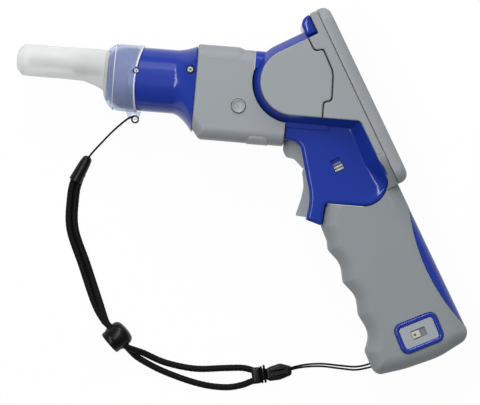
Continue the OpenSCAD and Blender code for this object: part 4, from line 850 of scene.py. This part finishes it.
# A dark round tube along the seam, just under the skins, is painted shadow in the open seam.
seam_corners = [(seam_x, band_floor + 0.3, 0, 0), *seam, (*seam_top, 0, 0), (20, 40, 0, 0), (-20, -40, 0, 0)]
seam_path = rounded(seam_corners)[:-2]
seam_path = np.column_stack([seam_path, np.full(len(seam_path), tub_z + 0.45)])
seam_shadow_tube = carried(seam_path, even(0.55), 8)
for hand, flip in hands:
    piece(f"{hand}_seam_painted_shadow", flip(seam_shadow_tube), dark_rubber_and_shade)


def lid_frame(grid):
    """Grid drawn in the plane of the screen: v, z and the height u."""
    v, z, u = np.moveaxis(np.asarray(grid, float), -1, 0)
    return leaning(np.stack([u, v, z], -1))


back_half = head_z - 1.2
tail_half = 20.6
back_outline = [
    (-lid_down, -tail_half, 0), (tail_v, -back_half, 0), (lid_up - 1.4, -back_half, 0), (lid_up - 1.4, back_half, 0),
    (tail_v, back_half, 0), (-lid_down, tail_half, 0)]
back_rings = slab(back_outline, [(0, back_u - 4.5), (0, back_u - 0.02)])
piece("back_plate", lid_frame(back_rings), grey_plastic)


# Top bumper: a blue moulded bar with round ends, let into the upper edge of the head, as wide as the screen.
# Its lower edge follows the slope of the band on both sides.
bumper_front = back_u - 11.4
bumper_back = back_u - 4.9
bumper_outline = [
    (bumper_front, head_roof + 0.2, 2), (bumper_back, head_roof + 0.2, 0), (bumper_back, lid_up - 0.5, 0.8),
    (bumper_front, lid_up - 2, 5.2)]
bumper_end = [(0, waist_z), (0, 28.5), (0.3, 29.3), (0.9, 29.9), (1.6, 30.2)]
bumper_rings = slab(bumper_outline, [(inset, -z) for inset, z in bumper_end[::-1]] + bumper_end)
over_band = np.maximum(np.abs(bumper_rings[..., 2]) - waist_z, 0) * 0.75 * band_run / (tub_z - waist_z)
bumper_rings[..., 1] -= over_band * (bumper_rings[..., 1] < head_roof + 3)
piece("top_bumper_bar", leaning(bumper_rings), blue_plastic, "top_bumper")


# Screen lid: a grey moulded frame with rounded corners and edges, screwed to the rear housing.
# A pocket in it takes the smoked window.
lid_u = back_u + 0.2
lid_t = 6.7
lid_outline = [(-lid_down, -head_z, 8, 0.5), (lid_up, -head_z, 8), (lid_up, head_z, 8, 0.5), (-lid_down, head_z, 8)]
lid_rings = slab(lid_outline, soft_top(lid_u, lid_u + lid_t, 5.0, 14))
lid = skin("screen_lid_frame", lid_frame(lid_rings), grey_plastic)
lid_mid = (lid_up - lid_down) / 2 + 4
pocket_long = 29.2
pocket_wide = 22.2
pocket = slab(box(lid_mid - pocket_long, -pocket_wide, lid_mid + pocket_long, pocket_wide, 3),
              [(0, lid_u + lid_t - 1.5), (0, lid_u + lid_t + 1)])
cut(lid, lid_frame(pocket))
stands_for(lid, "screen_lid")


# Grip: two half shells of soft-touch grey plastic, screwed together, with finger grooves in front and a flared
# toe. A horn of the same plastic rises behind the thumb panel.
soft_grey = moulded("soft_touch_grey", (130, 136, 139), 0.66, 3400, 0.00005, Sheen_Weight=0.08)
grip_z = 21.0
grip_round = 9.0
grip_front = 6.0
pitch = 20.4
first_ridge = 105.5
grip_end = 186.6
toe_reach = 6.4
seat = 0.2
toe_v = first_ridge + 3 * pitch
seat_y = panel_floor - seat
fingers = [(-0.6, 0, 4), (2.55, 0.5, 12), (-0.8, 1, 4), (2.55, 1.5, 12), (-0.8, 2, 4), (0.4, 2.62, 12)]
toe_front = grip_front - toe_reach
grip_outline = [
    (pin_x + 9, pin_y - 30, 1), (*lean(grip_front + 1.2, -first_ridge + 5), 6),
    *[(*lean(grip_front + out, -first_ridge - pitch * down), r) for out, down, r in fingers],
    (*lean(toe_front, -toe_v), 4), (*lean(toe_front - 0.6, -grip_end + 5.6), 5),
    (*lean(grip_front + 10, -grip_end + 1.8), 40), (*lean(back_u - 21, -grip_end - 0.4), 40),
    (*lean(back_u, -grip_end + 2.2), 7), (meets(back_u, seat_y), seat_y, 0, 0.02), (pin_x + 10, seat_y, 2.3)]
grip_rings = slab(grip_outline, soft_top(0.03, grip_z, grip_round, 14))
horn_outline = [
    (corner_mid[0] - 1, seat_y - 2, 0, 0), (meets(back_u, seat_y - 2), seat_y - 2, 0, 1),
    (*lean(back_u, -lid_down - seat), 0, 0), *round_corner(-15.4, -90, seat), (corner_mid[0] - 1, seat_y - 0.1, 0, 0)]
horn_rings = slab(horn_outline, [(min(i, 6.9), z) for i, z in soft_top(0.03, grip_z - 0.05, grip_round, 14)])
strip_len = 74.0
strip_deep = 6.4
strip_r = (strip_len ** 2 / 4 + strip_deep ** 2) / (2 * strip_deep)
strip_mid = -(first_ridge - 2.5 + strip_len / 2)
lens_at = lean(back_u - strip_deep + strip_r, strip_mid)
ring_at = np.array(lean(back_u - 25.7, -grip_end + 17.2))
ring_turn = tilt - math.radians(3.6)


def at_ring(grid):
    """Grid of the power switch, turned a little from the grip."""
    return swung(grid, ring_turn, *ring_at)


def plate_box(half_x, half_y, radius):
    """Corners of a rectangle about the middle of the power switch."""
    return box(-half_x, -half_y, half_x, half_y, radius)


grip_bosses = (16, 6.5 - first_ridge), (back_u - 10.5, 6.5 - first_ridge), (back_u - 6.4, 7.2 - grip_end)
lens_tool = drum(*lens_at, strip_r + 0.2, -40, 40, 500)
ring_hole = at_ring(slab(plate_box(13.05, 9.2, 4.7), [(0, 16.0), (0, 30.0)]))
for hand, flip in hands:
    shell = skin(f"{hand}_grip_shell", flip(grip_rings), soft_grey)
    cut(shell, lens_tool)
    if hand == "left":
        cut(shell, ring_hole)
    else:
        for boss in grip_bosses:
            cut(shell, screw_well(*lean(*boss), grip_z))
    stands_for(shell, f"grip_{hand}")
    horn = skin(f"{hand}_grip_horn", flip(horn_rings), soft_grey)
    stands_for(cut(horn, lens_tool))


# Back strip: a blue moulded inlay let into the back of the grip, flush with its round.
# Seen from the side it is the segment of a large circle.
strip_back = back_u - 0.1
strip_half = grip_z - 0.1
back_box = [
    (back_u - 16, -grip_z, 0), (strip_back, -strip_half, grip_round), (strip_back, strip_half, grip_round),
    (back_u - 16, grip_z, 0)]
back_bar = slab(back_box, [(0, strip_mid + end * (strip_len / 2 + 0.4)) for end in (-1, 1)])
back_strip = skin("back_strip_inlay", leaning(back_bar[..., [0, 2, 1]]), blue_plastic)
cut(back_strip, drum(*lens_at, strip_r, -40, 40, 500), "INTERSECT")
stands_for(back_strip, "back_strip")


# Power switch: a raised blue ring pressed into the grip round a flat grey plate, in whose window a pale
# slider with a dark dot runs.
ring_rings = slab(plate_box(12.85, 9.0, 4.5), [
    (0, 16.5), (0, 21.1), (0.15, 21.6), (0.55, 22.0), (1.1, 22.2), (1.7, 22.2), (2.3, 22.0), (2.75, 21.6),
    (2.9, 21.2), (2.95, 19.0)])
piece("switch_ring_bezel", at_ring(ring_rings), blue_plastic, "switch_ring")
plate_rings = slab(plate_box(10.3, 6.45, 2.2), soft_top(18.6, 21.5, 0.3, 4))
plate_grey = moulded("pale_grey_plastic", (150, 157, 162), 0.42, 2600, 0.00004)
plate = skin("switch_face", at_ring(plate_rings), plate_grey)
cut(plate, at_ring(slab(plate_box(4.3, 2.6, 0.6), [(0, 20.4), (0, 30)])))
stands_for(plate, "switch_plate")
# Grey of the switch window's floor; the same grey is painted shade on the selector's third rib.
grey_window_and_rib_shade = moulded("window_grey_plastic_and_rib_shade", (112, 117, 119), 0.5, 2200, 0.00004)
window_floor = at_ring(slab(plate_box(4.25, 2.55, 0.55), [(0, 20.2), (0, 20.45)]))
piece("switch_window_floor", window_floor, grey_window_and_rib_shade)
dot_grey = moulded("dot_grey_plastic", (74, 74, 70), 0.5, 2200, 0.00004)
ivory = moulded("ivory_plastic", (184, 185, 180), 0.4, 1800, 0.00003)
piece("power_slider_dot", at_ring(drum(-2.5, -0.1, 0.75, 21.2, 21.66, 20)), dot_grey, body="power")


# Wrist strap: black braided cord in two strands between a moulded ferrule and a crimped eye, held by a
# spring cord lock, with thin tethers to the cap and to the toe of the grip.
def resampled(path, spacing):
    """The same line with points a set distance apart."""
    p = np.asarray(path, float)
    along = np.concatenate([[0], np.cumsum(np.linalg.norm(np.diff(p, axis=0), axis=1))])
    spots = np.linspace(0, along[-1], max(8, int(along[-1] / spacing)))
    return np.column_stack([np.interp(spots, along, p[:, k]) for k in range(3)]), along[-1]


def braid(radius, pairs, lay, relief):
    """Distance of a braided skin: two families of helices cross, and each yarn stands out as a rounded ridge."""
    def distance(along, angle):
        right = np.abs(np.sin(pairs * angle / 2 + math.pi * along / lay))
        left = np.abs(np.sin(pairs * angle / 2 - math.pi * along / lay))
        return radius - relief + relief * np.maximum(right, left) ** 1.5
    return distance


def on_table(points):
    """Strap points: heights are above the table."""
    return np.asarray(points, float) - [0, 0, head_z]


cord_black = Finish("black_braided_cord", Specular_IOR_Level=0.12)
fibre = cord_black.noise(1800, 4.0)
cord_black.shade("Base Color", cord_black.mix(fibre, linear(5, 5, 5), linear(20, 20, 20)))
cord_black.shade("Roughness", fibre * 0.2 + 0.55)
cord_black.bump(fibre, 0.5, 0.0001)
black_plastic = moulded("black_satin_plastic", (8, 8, 8), 0.34, 1800, 0.00003, Specular_IOR_Level=0.22)
strand_d = 3.8
tether_d = 1.2
strap_routes = {
    "tether_nose": (tether_d, [
        [lug_x + 0.5, lug_y + 0.3, head_z - 3.4], [lug_x - 0.2, lug_y - 0.2, head_z + 1.6],
        [lug_x - 2.4, lug_y - 1.4, head_z + 3.4], [lug_x - 6.6, lug_y - 4.9, head_z - 1], [-71.4, -31.6, 19],
        [-76.6, -37.4, 9.5], [-80.8, -42.4, 4.6], [-83.6, -46.3, 3.5], [-84.6, -48.2, 3.4]]),
    "strand_upper": (strand_d, [
        [-86.3, -56.2, 3.8], [-87.7, -59.8, 3.4], [-89.2, -69, 2.3], [-88.2, -87.6, 2.2], [-79.8, -107.5, 2.3],
        [-70.9, -128.6, 4.2], [-66.4, -139.2, 8.2], [-63.9, -142.7, 9.4], [-58.7, -147.9, 9.5], [-53.3, -153.3, 9.4],
        [-48.6, -155, 6.8], [-43, -156.6, 3.6], [-32, -160.6, 2.3], [-20, -162.7, 2], [-9.8, -163.1, 2],
        [3, -161.6, 2], [13, -160.6, 2.4], [18, -160.9, 3], [22.5, -162, 3.2]]),
    "strand_lower": (strand_d, [
        [-89.6, -54.7, 3.8], [-91.1, -59, 3.4], [-92.65, -69, 2.2], [-91.65, -88.2, 2], [-83.0, -109.0, 2],
        [-74.0, -129.9, 2.6], [-67.8, -139.4, 4.4], [-63.9, -142.7, 5.4], [-58.7, -147.9, 5.5], [-53.3, -153.3, 5.4],
        [-50.4, -156.2, 3.4], [-45.6, -159.8, 2.2], [-33.6, -165.2, 2], [-20, -169.4, 2], [-9, -171.8, 2],
        [0, -172.6, 2], [8, -172.2, 2.2], [15, -170.3, 2.6], [19.4, -168.2, 3], [23.4, -166.4, 3.2]]),
}
tether_far = np.array([
    [42, -158.8, 3.4], [46.6, -157.2, 5], [52, -155.8, 10], [60, -154.6, 19], [70, -154.6, 27],
    [79, -154.4, head_z - 0.5]])
apart = np.linspace(0.5, 0.9, 6)[:, None] * [0, 1, 0]
loop_r = 2.4
anchor = (toe_front + 6, -grip_end + 11.4)
loop = [(-6, -1.1), (-1.5, -1.1 * loop_r), (0.6 * loop_r, -0.8 * loop_r), (loop_r, 0), (0.6 * loop_r, 0.8 * loop_r),
        (-1.5, 1.1 * loop_r), (-6, 1.1)]
strap_routes["tether_grip"] = (tether_d, np.concatenate([
    tether_far - apart, [[*lean(anchor[0] + a, anchor[1] + b), head_z] for a, b in loop],
    (tether_far + apart)[::-1]]))

braids = {
    strand_d: (braid(strand_d / 2, 8, 2.6, 0.28), 32, 0.45),
    tether_d: (braid(tether_d / 2, 6, 1.6, 0.08), 12, 0.5)}
strap = {}
for name, (thick, route) in strap_routes.items():
    yarn, sides, spacing = braids[thick]
    path, length = resampled(on_table(through(route, 24)), spacing)
    made = skin(name + "_cord", carried(path, yarn, sides), cord_black.material, 70)
    strap[name] = (made, row(path), length, thick)

ferrule = piece("ferrule_sleeve", turned(
    [(0.05, 0), (1.3, 0), (1.6, 0.25), (2.2, 0.7), (2.6, 1.2), (2.9, 2.4), (3.2, 4.2), (3.45, 8), (3.65, 13),
     (3.75, 15.6), (3.7, 16.1), (3.45, 16.3), (0.05, 16.3)],
    on_table([-83.8, -46.1, 3.8]), (-5, -10.9, 0)), black_plastic, "ferrule")

lock_mid = on_table([-58.7, -147.9, 7.5])
lock_axis = (1, 1, 0)
piece("lock_barrel_shell", turned(
    [(0.05, -1.2), (7.0, -1.2), (7.0, -3.0), (7.1, -3.2), (7.35, -3.1), (7.5, -2.7), (7.5, 2.4), (7.4, 3.3),
     (7.05, 4.3), (6.5, 5.1), (5.8, 5.8), (4.6, 6.3), (3, 6.6), (1.5, 6.72), (0.05, 6.75)],
    lock_mid, lock_axis), black_plastic, "lock_barrel")
piece("lock_plunger_cap", turned(
    [(0.05, 3.3), (5.6, 3.3), (5.6, -2.9), (6.8, -2.95), (6.9, -3.1), (6.9, -5.6), (6.7, -6.2), (6.2, -6.6),
     (5.4, -6.75), (0.05, -6.75)],
    lock_mid, lock_axis), black_plastic, "lock_plunger", body="lock_button")


def at_buckle(grid):
    """Grid of the eye and buckle, turned a little from the barrel and set on the table."""
    return swung(grid, math.radians(12), 20, -164.6, -head_z)


eye_grid = slab(box(0, -4.9, 5.2, 4.5, 1), [(0.6, 0), (0, 0.6), (0, 5.2), (0.4, 6), (1, 6.3), (1.6, 6.4)])
eye_neck = slab(box(5, -3.4, 8.6, 3.4, 0.8), [(0.4, 0.4), (0, 0.8), (0, 4.8), (0.3, 5.2), (0.8, 5.4)])
strap_eye = piece("strap_eye_block", at_buckle(eye_grid), black_plastic, "strap_eye")
piece("strap_eye_neck", at_buckle(eye_neck), black_plastic)
for i, start in enumerate((5.1, 6.9)):
    rib = box(start, -5.0, start + 1.3, 4.8 + 0.5 * i, 0.5)
    rib_grid = slab(rib, [(0.3, 0.2), (0, 0.5), (0, 5.7), (0.3, 6.1), (0.5, 6.2)])
    piece(f"strap_eye_rib_{i + 1}", at_buckle(rib_grid), black_plastic)
buckle_grid = slab([
    (8.2, -3.2, 1), (10, -4.4, 2), (16, -4.4, 4), (23.2, -2.4, 2), (23.2, 2.6, 1.5), (17, 5, 4), (11, 3.8, 3),
    (8.2, 2.6, 1)],
    [(0.6, 0), (0, 0.6), *soft_top(0, 6.2, 1.6, 6)[2:]])
buckle = piece("side_buckle", at_buckle(buckle_grid), black_plastic, "buckle")
for i, (low_y, high_y) in enumerate(((-2.6, -0.5), (0.6, 2.7))):
    prong = [(10.4, low_y, 0.8), (19.5, low_y + 0.5, 0.8), (19.5, high_y - 0.2, 0.8), (10.4, high_y, 0.8)]
    prong_grid = slab(prong, soft_top(4, 6.7, 0.5, 5))
    piece(f"buckle_prong_{i + 1}", at_buckle(prong_grid), black_plastic)
turn = np.linspace(0.1, 2 * math.pi, 40)
knot_r = 1.9
knot_path = np.column_stack([
    lug_x + 1.3 + knot_r * np.cos(turn), lug_y - 1.6 + knot_r * np.sin(turn), 0.7 * np.cos(turn)])
knot = skin("tether_knot", carried(knot_path, even(0.5), 10), cord_black.material)
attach(knot, "cap")

for name, (made, path, length, thick) in strap.items():
    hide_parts(name)
    length / 1000
    thick / 1000
    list([knot] if name == "tether_nose" else [])
    if name == "tether_nose":
        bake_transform(made)
    else:
        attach(made, "handle")


# Inner and small pieces: boards, cells, pump, hoses, springs and pins of steel, rubber and plain plastics.
# Each keeps its CAD solid, screwed or pressed into the shells, and gets the finish of its own material;
# spine, cap seal and power slider take the colour that the photo shows there.
steel = Finish("brushed_steel", Metallic=1.0)
brushed = steel.noise(700, 3.0)
steel.shade("Base Color", steel.mix(brushed, linear(140, 141, 143), linear(172, 172, 172)))
steel.shade("Roughness", brushed * 0.18 + 0.18)
# Dark grey plastic of the CAD pieces; the same finish paints shade in the screw sockets.
dark_plastic = moulded("dark_grey_plastic_and_shade", (66, 68, 71), 0.5, 2200, 0.00005)
smoked = Finish("smoked_window", Roughness=0.08, Coat_Weight=0.6, Coat_Roughness=0.03)
place = smoked.add("SeparateXYZ", {}, {0: smoked.add("TexCoord", {}, {}, "Object")}, "X")
axes = [Wire(smoked, out) for out in place.socket.node.outputs]
down_lid = axes[1] * math.cos(tilt) - axes[0] * math.sin(tilt)
lid_zero = (lid_mid + barrel_axis[1] * math.cos(tilt) - barrel_axis[0] * math.sin(tilt)) / 1000
in_length = down_lid.math("COMPARE", down_lid, lid_zero, 0.0245)
in_view = in_length * axes[2].math("COMPARE", axes[2], head_z / 1000, 0.0175)
border = smoked.mix(smoked.noise(18), linear(9, 10, 12), linear(15, 16, 19))
smoked.shade("Base Color", smoked.mix(in_view, border, linear(58, 64, 62)))
board_green = moulded("solder_mask_green", (26, 92, 52), 0.35, 1200, 0.00004)
cell_blue = moulded("cell_sleeve_blue", (60, 110, 175), 0.3, 900, 0.00003)
pale_clear = Finish("pale_clear_plastic", Roughness=0.25, Transmission_Weight=0.25, IOR=1.45)
pale_clear.shade("Base Color", pale_clear.mix(pale_clear.noise(120), linear(196, 204, 216), linear(214, 220, 228)))
node_finish = {
    "blue_plastic": blue_plastic, "gray_plastic": grey_plastic, "soft_gray": soft_grey,
    "clear_plastic": pale_clear.material, "dark_plastic": dark_plastic, "black_plastic": black_plastic,
    "black_rubber": dark_rubber_and_shade, "steel": steel.material, "board": board_green, "window": smoked.material,
    "cell_sleeve": cell_blue, "cord": cord_black.material}
repainted = {part["node"]: node_finish[part["material_slot"]] for part in frame["record"]["subparts"]}
repainted |= {"spine": grey_plastic, "cap_seal": blue_plastic, "power_slider": ivory}
for node, finish in repainted.items():
    materials = frame["nodes"][node].data.materials
    materials.clear()
    materials.append(finish)


# Selector: an ivory moulded slider with ribs for the thumb, which runs in a slot of the left thumb panel.
# The floor of the slot is blue like the panel; the third rib sits lower and is painted grey as shade.
slot_floor = slab(slot_corners, [(-0.1, 16.2), (-0.1, 17.2)])
piece("selector_slot_floor", slot_floor, blue_plastic)
for i, (across, rise, finish) in enumerate(((-2.1, 19.7, ivory), (-0.4, 19.7, ivory), (1.3, 18.4, grey_window_and_rib_shade))):
    rib = at_selector(box(-2.4, across - 0.6, 2.8, across + 0.6, 0.3))
    rib_grid = slab(rib, soft_top(17.25, rise, 0.35, 5))
    replaced = ["selector_slider"] if i == 0 else []
    piece(f"selector_rib_{i + 1}", rib_grid, finish, *replaced, body="selector")


# Neck screws: steel socket-head screws, two at the cap's rim and two at the root of the neck.
# Each is driven into the neck from its side; the root's sit in wells. A dark disc in each socket and on each well's
# floor is painted shade.
sides = (("left", 1), ("right", -1))
for name, spot, top, head_r in (("tip", tip_screw, 16.9, 1.35), ("root", root_screw, 20.2, 1.75)):
    for hand, side in sides:
        screw = turned([
            (0.05, top - 5), (1.0, top - 5), (1.0, top - 1.1), (head_r, top - 1.1), (head_r, top - 0.2),
            (head_r - 0.2, top), (0.62, top), (0.56, top - 0.7), (0.05, top - 0.7)], (*spot, 0), (0, 0, side), 32)
        replaced = ["neck_screws"] if (name, hand) == ("tip", "left") else []
        piece(f"{name}_screw_{hand}", screw, steel.material, *replaced)
        # A dark disc in the socket of the head: painted shade.
        socket = turned([(0.05, top - 0.6), (0.55, top - 0.6), (0.55, top - 0.45), (0.05, top - 0.45)],
                        (*spot, 0), (0, 0, side), 6)
        piece(f"{name}_screw_socket_shade_{hand}", socket, dark_plastic)
for hand, side in sides:
    # A dark disc on the floor of the root's well: painted shade of the well.
    well = turned([(0.05, 18.8), (2.44, 18.8), (2.44, 19.1), (0.05, 19.1)], (*root_screw, 0), (0, 0, side), 32)
    piece(f"screw_well_{hand}", well, dark_rubber_and_shade)


low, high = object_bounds()
